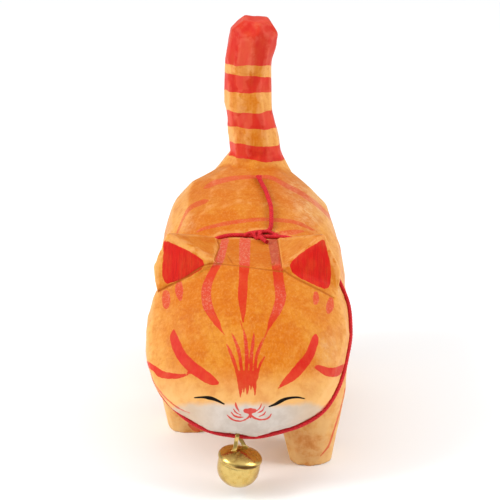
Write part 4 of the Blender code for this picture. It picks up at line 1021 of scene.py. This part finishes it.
def braid_mesh(route, radius, closed=False, sides=20, strands=4, pitch=0.86, depth=0.2, taper=0.0):
    """Points, faces and groove depth of a round braid along a route in millimetres; the groove depth is the mask for
    painted shade between the strands.
    """
    route = np.array(route, dtype=float)
    n = len(route)
    if closed:
        ahead = np.roll(route, -1, axis=0) - np.roll(route, 1, axis=0)
        length = np.linalg.norm(np.diff(np.vstack([route, route[:1]]), axis=0), axis=1)
    else:
        ahead = np.gradient(route, axis=0)
        length = np.linalg.norm(np.diff(route, axis=0), axis=1)
    ahead /= np.linalg.norm(ahead, axis=1)[:, None]
    run = np.concatenate([[0.0], np.cumsum(length)])
    repeats = run[-1] / pitch
    if closed:
        repeats = 2 * round(repeats / 2)
    hint = np.array([0.0, 0.0, 1.0]) if abs(ahead[0, 2]) < 0.9 else np.array([1.0, 0.0, 0.0])
    side = hint - ahead[0] * (hint @ ahead[0])
    side /= np.linalg.norm(side)
    sides_at = []
    for i in range(n):
        side = side - ahead[i] * (side @ ahead[i])
        side /= np.linalg.norm(side)
        sides_at.append(side)
    sides_at = np.array(sides_at)
    twist = 0.0
    if closed:
        # what is left over between the last frame and the first is spread along the ring
        back = side - ahead[0] * (side @ ahead[0])
        back /= np.linalg.norm(back)
        twist = math.atan2(np.cross(sides_at[0], back) @ ahead[0], sides_at[0] @ back)
    points, groove = [], []
    for i in range(n):
        s = run[i] / run[-1]
        angle = np.arange(sides) * 2 * math.pi / sides
        turned = angle - twist * s
        other = np.cross(ahead[i], sides_at[i])
        a = angle / (2 * math.pi) * strands + s * repeats
        b = angle / (2 * math.pi) * strands - s * repeats
        even = (np.floor(a) + np.floor(b)) % 2 == 0
        fa, fb = a % 1.0, b % 1.0
        across = np.where(even, fb, fa)
        along = np.where(even, fa, fb)
        height = (1.0 - np.abs(2 * across - 1) ** 2.6) * (0.62 + 0.38 * np.sin(math.pi * along))
        r = radius * (1.0 - depth + depth * height)
        if taper and not closed:
            end = min(run[i], run[-1] - run[i])
            r = r * (1.0 - taper * max(0.0, 1.0 - end / 0.5))
        points.append(
            route[i]
            + (r * np.cos(turned))[:, None] * sides_at[i]
            + (r * np.sin(turned))[:, None] * other
        )
        groove.append(1.0 - height)
    points = np.concatenate(points)
    groove = np.concatenate(groove)
    faces = []
    for i in range(n if closed else n - 1):
        j = (i + 1) % n
        for k in range(sides):
            k2 = (k + 1) % sides
            faces.append((i * sides + k, i * sides + k2, j * sides + k2, j * sides + k))
    if not closed:
        # sunk ends, painted dark as shade
        for i, sign in ((0, -1.0), (n - 1, 1.0)):
            ring = [i * sides + k for k in range(sides)]
            lip = len(points)
            inner = points[ring] * 0.35 + route[i] * 0.65
            deep = inner - sign * ahead[i] * 0.28
            points = np.vstack([points, deep, route[i] - sign * ahead[i] * 0.34])
            groove = np.concatenate([groove, np.full(sides + 1, 1.0)])
            for k in range(sides):
                k2 = (k + 1) % sides
                quad = (ring[k], ring[k2], lip + k2, lip + k)
                tri = (lip + k, lip + k2, lip + sides)
                faces.append(quad if sign > 0 else quad[::-1])
                faces.append(tri if sign > 0 else tri[::-1])
    return points, faces, groove


def join_parts(name, parts, material):
    points, faces, groove = [], [], []
    start = 0
    for part_points, part_faces, part_groove in parts:
        points.append(part_points)
        groove.append(part_groove)
        faces += [tuple(v + start for v in f) for f in part_faces]
        start += len(part_points)
    obj = make_piece(name, np.vstack(points), faces, material)
    layer = obj.data.attributes.new("braid_groove_shade", "FLOAT", "POINT")
    layer.data.foreach_set("value", np.concatenate(groove).astype(np.float32))
    made = bmesh.new()
    made.from_mesh(obj.data)
    bmesh.ops.recalc_face_normals(made, faces=made.faces)
    made.to_mesh(obj.data)
    made.free()
    obj.data.shade_smooth()
    return obj


# the cord's centreline round the neck, from the cat's left, in the modelling origin
COLLAR_ROUTE = (
    (27.52, -14.38, 37.40), (27.70, -12.53, 39.17), (27.69, -10.66, 40.94), (27.60, -8.79, 42.70),
    (27.28, -6.93, 44.44), (26.64, -5.09, 46.12), (25.80, -3.28, 47.74), (24.83, -1.51, 49.32),
    (23.68, 0.22, 50.85), (22.35, 1.88, 52.29), (20.77, 3.42, 53.59), (18.97, 4.84, 54.75),
    (17.09, 6.20, 55.86), (15.11, 7.49, 56.88), (12.92, 8.57, 57.68), (10.51, 9.30, 58.13),
    (7.97, 9.67, 58.23), (5.40, 9.88, 58.18), (2.85, 10.15, 58.17), (0.30, 10.48, 58.23),
    (-2.25, 10.80, 58.28), (-4.81, 11.01, 58.23), (-7.36, 10.92, 57.89), (-9.80, 10.48, 57.23),
    (-12.13, 9.83, 56.38), (-14.40, 9.06, 55.43), (-16.56, 8.16, 54.37), (-18.58, 7.12, 53.18),
    (-20.44, 5.93, 51.86), (-22.06, 4.57, 50.41), (-23.41, 3.05, 48.84), (-24.50, 1.41, 47.18),
    (-25.38, -0.30, 45.47), (-26.16, -2.04, 43.75), (-26.87, -3.79, 42.01), (-27.44, -5.59, 40.26),
    (-27.76, -7.42, 38.49), (-27.88, -9.28, 36.72), (-27.90, -11.14, 34.95), (-27.80, -13.01, 33.19),
    (-27.54, -14.88, 31.44), (-27.11, -16.74, 29.72), (-26.45, -18.58, 28.05), (-25.54, -20.37, 26.45),
    (-24.38, -22.09, 24.93), (-22.93, -23.70, 23.55), (-21.23, -25.18, 22.32), (-19.42, -26.59, 21.16),
    (-17.51, -27.94, 20.08), (-15.45, -29.14, 19.15), (-13.21, -30.17, 18.40), (-10.85, -31.01, 17.83),
    (-8.38, -31.64, 17.48), (-5.86, -32.08, 17.32), (-3.31, -32.42, 17.25), (-0.76, -32.71, 17.23),
    (1.81, -32.86, 17.34), (4.35, -32.77, 17.68), (6.86, -32.50, 18.18), (9.34, -32.16, 18.76),
    (11.76, -31.68, 19.45), (14.04, -30.94, 20.38), (16.15, -29.98, 21.50), (18.08, -28.85, 22.76),
    (19.82, -27.57, 24.15), (21.40, -26.18, 25.62), (22.89, -24.73, 27.14), (24.21, -23.20, 28.72),
    (25.24, -21.54, 30.39), (25.96, -19.79, 32.13), (26.55, -18.00, 33.88), (27.10, -16.20, 35.63),
)

ring = np.array(COLLAR_ROUTE) + SHIFT
ring += jaw_fill(ring, cord=True)
kx, ky, kz = np.array([2.848, 10.146, 58.174]) + SHIFT
turn_route = [
    (kx + 0.25 * math.cos(t), ky + 1.0 * math.cos(t), kz + 0.35 + 1.0 * math.sin(t))
    for t in np.linspace(0, 2 * math.pi, 24, endpoint=False)
]
across_route = (
    (kx - 4.6, ky - 0.1, kz + 0.25), (kx - 3.0, ky + 0.5, kz + 0.75), (kx - 1.2, ky + 0.6, kz + 1.05),
    (kx + 0.6, ky + 0.8, kz + 1.15), (kx + 2.4, ky + 1.1, kz + 1.0), (kx + 3.9, ky + 0.6, kz + 0.45),
    (kx + 5.2, ky - 0.1, kz + 0.1),
)


def resting(x, y, lift=0.0):
    """A point of the cord that lies on the wood, from x and y in the modelling origin."""
    start = (np.array([x, y, 130.0]) + SHIFT) * MM
    hit = wood.cad_tree.ray_cast(Vector(start), Vector((0.0, 0.0, -1.0)))
    return np.array([x, y, hit[0].z / MM + CORD_RADIUS * 0.97 + lift]) + [SHIFT[0], SHIFT[1], 0.0]


short_route = (
    (kx - 2.6, ky + 0.7, kz + 0.3), (kx - 1.9, ky + 0.3, kz + 0.9), tuple(resting(1.95, 9.3, 0.45)),
    tuple(resting(2.9, 8.0, 0.25)), tuple(resting(3.8, 6.6, 0.12)), tuple(resting(4.75, 5.1, 0.1)),
)
parts = [braid_mesh(curve_through(ring, 0.17, closed=True), CORD_RADIUS, closed=True)]
parts.append(braid_mesh(curve_through(turn_route, 0.15, closed=True), CORD_RADIUS, closed=True))
parts.append(braid_mesh(curve_through(across_route, 0.15), CORD_RADIUS * 0.95, taper=0.3))
parts.append(braid_mesh(curve_through(short_route, 0.15), CORD_RADIUS * 1.05, depth=0.14))
collar = join_parts("collar", parts, BRAID)
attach(collar, "root")
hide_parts("collar_cord")


FREE_END = (
    (2.95, 11.75, 58.75), (4.30, 12.00, 58.85), (5.35, 11.95, 59.30), (5.90, 12.45, 60.20),
    (6.05, 13.60, 61.20), (6.09, 15.22, 61.93), (6.10, 17.15, 62.85), (6.00, 19.03, 63.86),
    (5.62, 20.94, 64.80), (5.22, 23.02, 65.31), (4.82, 25.10, 65.82), (4.38, 27.19, 66.23),
    (3.88, 29.26, 66.54), (3.36, 31.29, 66.86), (2.86, 33.28, 67.18), (2.70, 34.30, 67.36),
)
end_route = curve_through(np.array(FREE_END) + SHIFT, 0.15)
end_parts = [braid_mesh(end_route, CORD_RADIUS * 1.07, depth=0.16)]
tip, back = end_route[-1], end_route[-1] - end_route[-6]
back /= np.linalg.norm(back)
across = np.cross(back, (0.0, 0.0, 1.0))
across /= np.linalg.norm(across)
for spread, lift, reach in ((-0.50, 0.02, 0.75), (-0.36, 0.22, 0.85), (-0.16, 0.30, 0.95), (0.02, 0.12, 1.10),
                            (0.18, 0.30, 0.90), (0.36, 0.20, 1.00), (0.50, 0.00, 0.80), (-0.40, -0.20, 0.80),
                            (-0.12, -0.24, 0.95), (0.14, -0.24, 0.85), (0.38, -0.20, 0.90)):
    start = tip - back * 0.9 + across * spread * 0.8 + np.array([0.0, 0.0, lift * 0.9])
    middle = tip + back * reach * 0.3 + across * spread * 1.2 + np.array([0.0, 0.0, lift])
    end = tip + back * reach * 1.25 + across * spread * 1.65 + np.array([0.0, 0.0, lift * 0.7 - 0.04])
    end_parts.append(braid_mesh(curve_through((start, middle, end), 0.12), 0.19, sides=8, depth=0.0, taper=0.2))
loose = join_parts("loose_end", end_parts, BRAID)
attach(loose, "root")
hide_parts("collar_cord_end")


# ---------------------------------------------------------------- the bell

BELL_CENTRE = np.array([-2.65, -33.1, 11.1]) + SHIFT
CHIN = np.array([-3.311, -32.420, 17.248]) + SHIFT
BELL_OUTER = ((0, 2.6), (1.3, 2.48), (2.6, 2.12), (4.0, 1.6), (5.0, 1.1), (5.55, 0.74), (5.9, 0.34),
              (6.02, -0.06), (5.98, -0.38), (5.82, -0.6), (5.62, -0.74), (5.56, -0.92), (5.66, -1.25),
              (5.76, -2.0), (5.77, -3.3), (5.58, -4.7), (4.96, -6.1), (3.75, -7.4), (2.2, -8.3),
              (1.0, -8.68), (0, -8.8))
BELL_INNER = ((0, 2.16), (1.3, 2.05), (2.6, 1.7), (4.0, 1.18), (4.95, 0.66), (5.4, 0.18), (5.52, -0.2),
              (5.3, -0.58), (5.14, -0.9), (5.24, -1.3), (5.35, -3.2), (5.16, -4.6), (4.55, -5.9),
              (3.45, -7.1), (2.0, -7.92), (0.9, -8.28), (0, -8.4))


def brass_material():
    n = Nodes("brass")
    place = n.place()
    dull = n.noise(place, 700.0, 4.0, 0.6)
    spots = n.noise(place, 1500.0, 2.0, 0.6)
    scratch = n.noise(n.stretched(place, (6000.0, 900.0, 900.0), rotation=(0.3, 0.5, 0.7)), 1.0, 2.0, 0.6)
    base = n.mix(n.range(dull, 0.38, 0.66), (0.650, 0.460, 0.150, 1.0), (0.570, 0.380, 0.105, 1.0))
    base = n.mix(n.math("MULTIPLY", n.range(spots, 0.64, 0.78), 0.40), base, (0.40, 0.24, 0.08, 1.0))
    # painted dark reflection on the rim and painted shade inside the bell and on the strap
    dark_reflection_and_shade = n.attribute("dark_reflection_and_shade")
    edge = n.math("ADD", dark_reflection_and_shade, n.math("MULTIPLY", n.math("SUBTRACT", dull, 0.5), 0.5))
    base = n.mix(n.math("MULTIPLY", n.range(edge, 0.25, 0.8), 0.94), base, (0.10, 0.042, 0.012, 1.0))
    n.link(base, n.shader.inputs["Base Color"])
    n.shader.inputs["Metallic"].default_value = 1.0
    rough = n.range(dull, 0.3, 0.7, 0.18, 0.32, smooth=False)
    rough = n.math("ADD", rough, n.math("MULTIPLY", dark_reflection_and_shade, 0.2))
    n.link(rough, n.shader.inputs["Roughness"])
    bump = n.node("ShaderNodeBump")
    bump.inputs["Strength"].default_value = 0.15
    bump.inputs["Distance"].default_value = 0.00005
    n.link(n.math("ADD", scratch, dull), bump.inputs["Height"])
    n.link(bump.outputs[0], n.shader.inputs["Normal"])
    return n.material


BRASS = brass_material()


def revolve(profile, around_count, folds=0.0, inward=False):
    """Points and faces of a surface of revolution whose ends are on the axis."""
    line = curve_through([(r, z) for r, z in profile], 0.22)
    line[:, 0] = np.maximum(line[:, 0], 0.0)
    rows = line[1:-1]
    points = []
    for r, z in rows:
        for k in range(around_count):
            t = 2 * math.pi * k / around_count
            lift = 0.0
            if folds and z > 0.4:
                # four pressed folds run from the strap down to the rim
                here = float(smooth_step(1.0, 2.4, r) * smooth_step(6.1, 5.0, r))
                wave = abs(math.cos(2 * (t - math.radians(25.0))))
                lift = folds * here * (wave**0.6 - 0.72)
                lift -= 0.12 * here * math.exp(-((min(abs((math.degrees(t) - 70.0) % 90.0 - 0.0),
                                                      90.0 - (math.degrees(t) - 70.0) % 90.0) / 5.0) ** 2))
            points.append((r * math.cos(t), r * math.sin(t), z + lift))
    faces = []
    count = len(rows)
    for i in range(count - 1):
        for k in range(around_count):
            k2 = (k + 1) % around_count
            faces.append((i * around_count + k, (i + 1) * around_count + k,
                          (i + 1) * around_count + k2, i * around_count + k2))
    top, bottom = len(points), len(points) + 1
    points += [(0.0, 0.0, float(line[0, 1])), (0.0, 0.0, float(line[-1, 1]))]
    for k in range(around_count):
        k2 = (k + 1) % around_count
        faces.append((top, k, k2))
        faces.append((bottom, (count - 1) * around_count + k2, (count - 1) * around_count + k))
    if inward:
        faces = [f[::-1] for f in faces]
    return np.array(points), faces


def ribbon(route, width, thick, steps=18):
    """A strip of sheet metal along a route, its width across the cord."""
    route = curve_through(route, 0.16)
    ahead = np.gradient(route, axis=0)
    ahead /= np.linalg.norm(ahead, axis=1)[:, None]
    points, faces = [], []
    for p, d in zip(route, ahead):
        wide = np.array([1.0, 0.0, 0.0]) - d * d[0]
        wide /= np.linalg.norm(wide)
        over = np.cross(d, wide)
        for k in range(steps):
            t = 2 * math.pi * k / steps
            c, s = math.cos(t), math.sin(t)
            points.append(p + wide * 0.5 * width * math.copysign(abs(c) ** 0.45, c)
                          + over * 0.5 * thick * math.copysign(abs(s) ** 0.6, s))
    n = len(route)
    for i in range(n - 1):
        for k in range(steps):
            k2 = (k + 1) % steps
            faces.append((i * steps + k, i * steps + k2, (i + 1) * steps + k2, (i + 1) * steps + k))
    faces.append(tuple(range(steps))[::-1])
    faces.append(tuple((n - 1) * steps + k for k in range(steps)))
    return np.array(points), faces


def make_bell():
    outer, outer_faces = revolve(BELL_OUTER, 96, folds=0.22)
    inner, inner_faces = revolve(BELL_INNER, 72, inward=True)
    points = np.vstack([outer, inner])
    faces = outer_faces + [tuple(v + len(outer) for v in f) for f in inner_faces]
    shell = make_piece("bell_shell", points, faces, BRASS)
    cutters = []
    for angle in (35.0, 125.0):
        bpy.ops.mesh.primitive_cube_add(size=1.0)
        slit = bpy.context.object
        slit.scale = (7.0 * MM, 0.8 * MM, 5.6 * MM)
        slit.rotation_euler = (0.0, 0.0, math.radians(angle))
        slit.location = (0.0, 0.0, -9.2 * MM)
        cutters.append(slit)
    bpy.context.view_layer.update()
    for cutter in cutters:
        cut = shell.modifiers.new("cut", "BOOLEAN")
        cut.operation = "DIFFERENCE"
        cut.solver = "EXACT"
        cut.object = cutter
    graph = bpy.context.evaluated_depsgraph_get()
    mesh = bpy.data.meshes.new_from_object(shell.evaluated_get(graph))
    bpy.data.objects.remove(shell, do_unlink=True)
    for cutter in cutters:
        bpy.data.objects.remove(cutter, do_unlink=True)

    place = Matrix.Translation(Vector(BELL_CENTRE * MM)) @ Matrix.Rotation(math.radians(9.0), 4, "Y")
    flat = np.array([v.co for v in mesh.vertices]) / MM
    reach = np.hypot(flat[:, 0], flat[:, 1])
    # a painted dark reflection on the band and crease at the rim, strongest at the front
    dark_reflection_and_shade = np.exp(-((flat[:, 2] + 0.08) / 0.60) ** 2) * (reach > 4.6)
    angle = np.degrees(np.arctan2(flat[:, 1], flat[:, 0]))
    front = np.exp(-(((angle + 72.0 + 180.0) % 360.0 - 180.0) / 36.0) ** 2)
    dark_reflection_and_shade *= 0.22 + 0.78 * front
    wall = np.interp(-flat[:, 2], [0.0, 0.8, 1.2, 3.3, 4.7, 6.1, 7.4, 8.3],
                     [5.75, 5.36, 5.46, 5.56, 5.38, 4.7, 3.5, 1.9])
    # painted shade on the inside of the bell
    dark_reflection_and_shade = np.maximum(dark_reflection_and_shade, 0.9 * (flat[:, 2] < 0.2) * (reach < wall) * (flat[:, 2] > -8.35))
    mesh.transform(place)
    sx, sy, sz = CHIN - BELL_CENTRE
    over = 1.1
    strap_route = [
        (-2.25, -1.35, 2.0), (-1.75, -1.25, 2.42), (-1.35, -1.15, 3.15),
        (sx - 0.36, sy - over - 0.05, sz - 0.9), (sx - 0.08, sy - over, sz + 0.15), (sx, sy, sz + over),
        (sx + 0.12, sy + over, sz + 0.15), (sx + 0.40, sy + over + 0.02, sz - 0.9),
        (0.95, 0.95, 3.15), (1.45, 0.9, 2.5), (2.0, 0.9, 2.08),
    ]
    strap, strap_faces = ribbon([np.array(p) + BELL_CENTRE for p in strap_route], 1.08, 0.4)
    base = len(mesh.vertices)
    made = bmesh.new()
    made.from_mesh(mesh)
    layer = made.verts.layers.float.new("dark_reflection_and_shade")
    made.verts.ensure_lookup_table()
    for vert, value in zip(made.verts, dark_reflection_and_shade):
        vert[layer] = float(value)
    added = [made.verts.new(Vector(p * MM)) for p in strap]
    for face in strap_faces:
        made.faces.new([added[v] for v in face])
    # the strap's part behind the chin gets painted shade
    for vert, p in zip(added, strap):
        vert[layer] = 0.35 if p[1] > CHIN[1] + 0.4 else 0.0
    for face in made.faces:
        face.smooth = True
    made.normal_update()
    made.to_mesh(mesh)
    made.free()
    mesh.materials.clear()
    mesh.materials.append(BRASS)
    mesh.set_sharp_from_angle(angle=math.radians(42.0))
    bell = bpy.data.objects.new("jingle_bell", mesh)
    bpy.context.scene.collection.objects.link(bell)
    return bell


bell = make_bell()
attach(bell, "root")
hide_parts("bell")

# ---------------------------------------------------------------- stage and light

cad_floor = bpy.data.meshes.new("floor")
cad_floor.from_pydata([(-12, -12, 0), (12, -12, 0), (12, 12, 0), (-12, 12, 0)], [], [(0, 1, 2, 3)])
floor = bpy.data.objects.new("floor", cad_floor)
bpy.context.scene.collection.objects.link(floor)
floor_nodes = Nodes("pale_floor")
floor_nodes.shader.inputs["Base Color"].default_value = (0.925, 0.945, 0.96, 1.0)
floor_nodes.shader.inputs["Roughness"].default_value = 0.9
floor_nodes.shader.inputs["Specular IOR Level"].default_value = 0.1
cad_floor.materials.append(floor_nodes.material)

world = bpy.data.worlds.new("studio")
bpy.context.scene.world = world
world.use_nodes = True
background = world.node_tree.nodes["Background"]
background.inputs[0].default_value = (1.0, 0.995, 0.985, 1.0)
background.inputs[1].default_value = 0.42


def area_light(name, place, size, power, colour=(1.0, 1.0, 1.0)):
    data = bpy.data.lights.new(name, "AREA")
    data.shape = "RECTANGLE"
    data.size, data.size_y = size
    data.energy = power
    data.color = colour
    obj = bpy.data.objects.new(name, data)
    bpy.context.scene.collection.objects.link(obj)
    obj.location = place
    obj.rotation_euler = (Vector((0, 0, 0.05)) - Vector(place)).to_track_quat("-Z", "Y").to_euler()
    return obj


area_light("left", (-0.80, -0.25, 0.55), (0.35, 0.7), 7.1)
area_light("right", (0.80, -0.20, 0.50), (0.35, 0.7), 5.2)
ceiling = area_light("ceiling", (0.0, 0.6, 3.2), (6.5, 6.5), 84.0)
ceiling.rotation_euler = (0.0, 0.0, 0.0)

scene = bpy.context.scene
scene.view_settings.view_transform = "Standard"
scene.view_settings.look = "None"
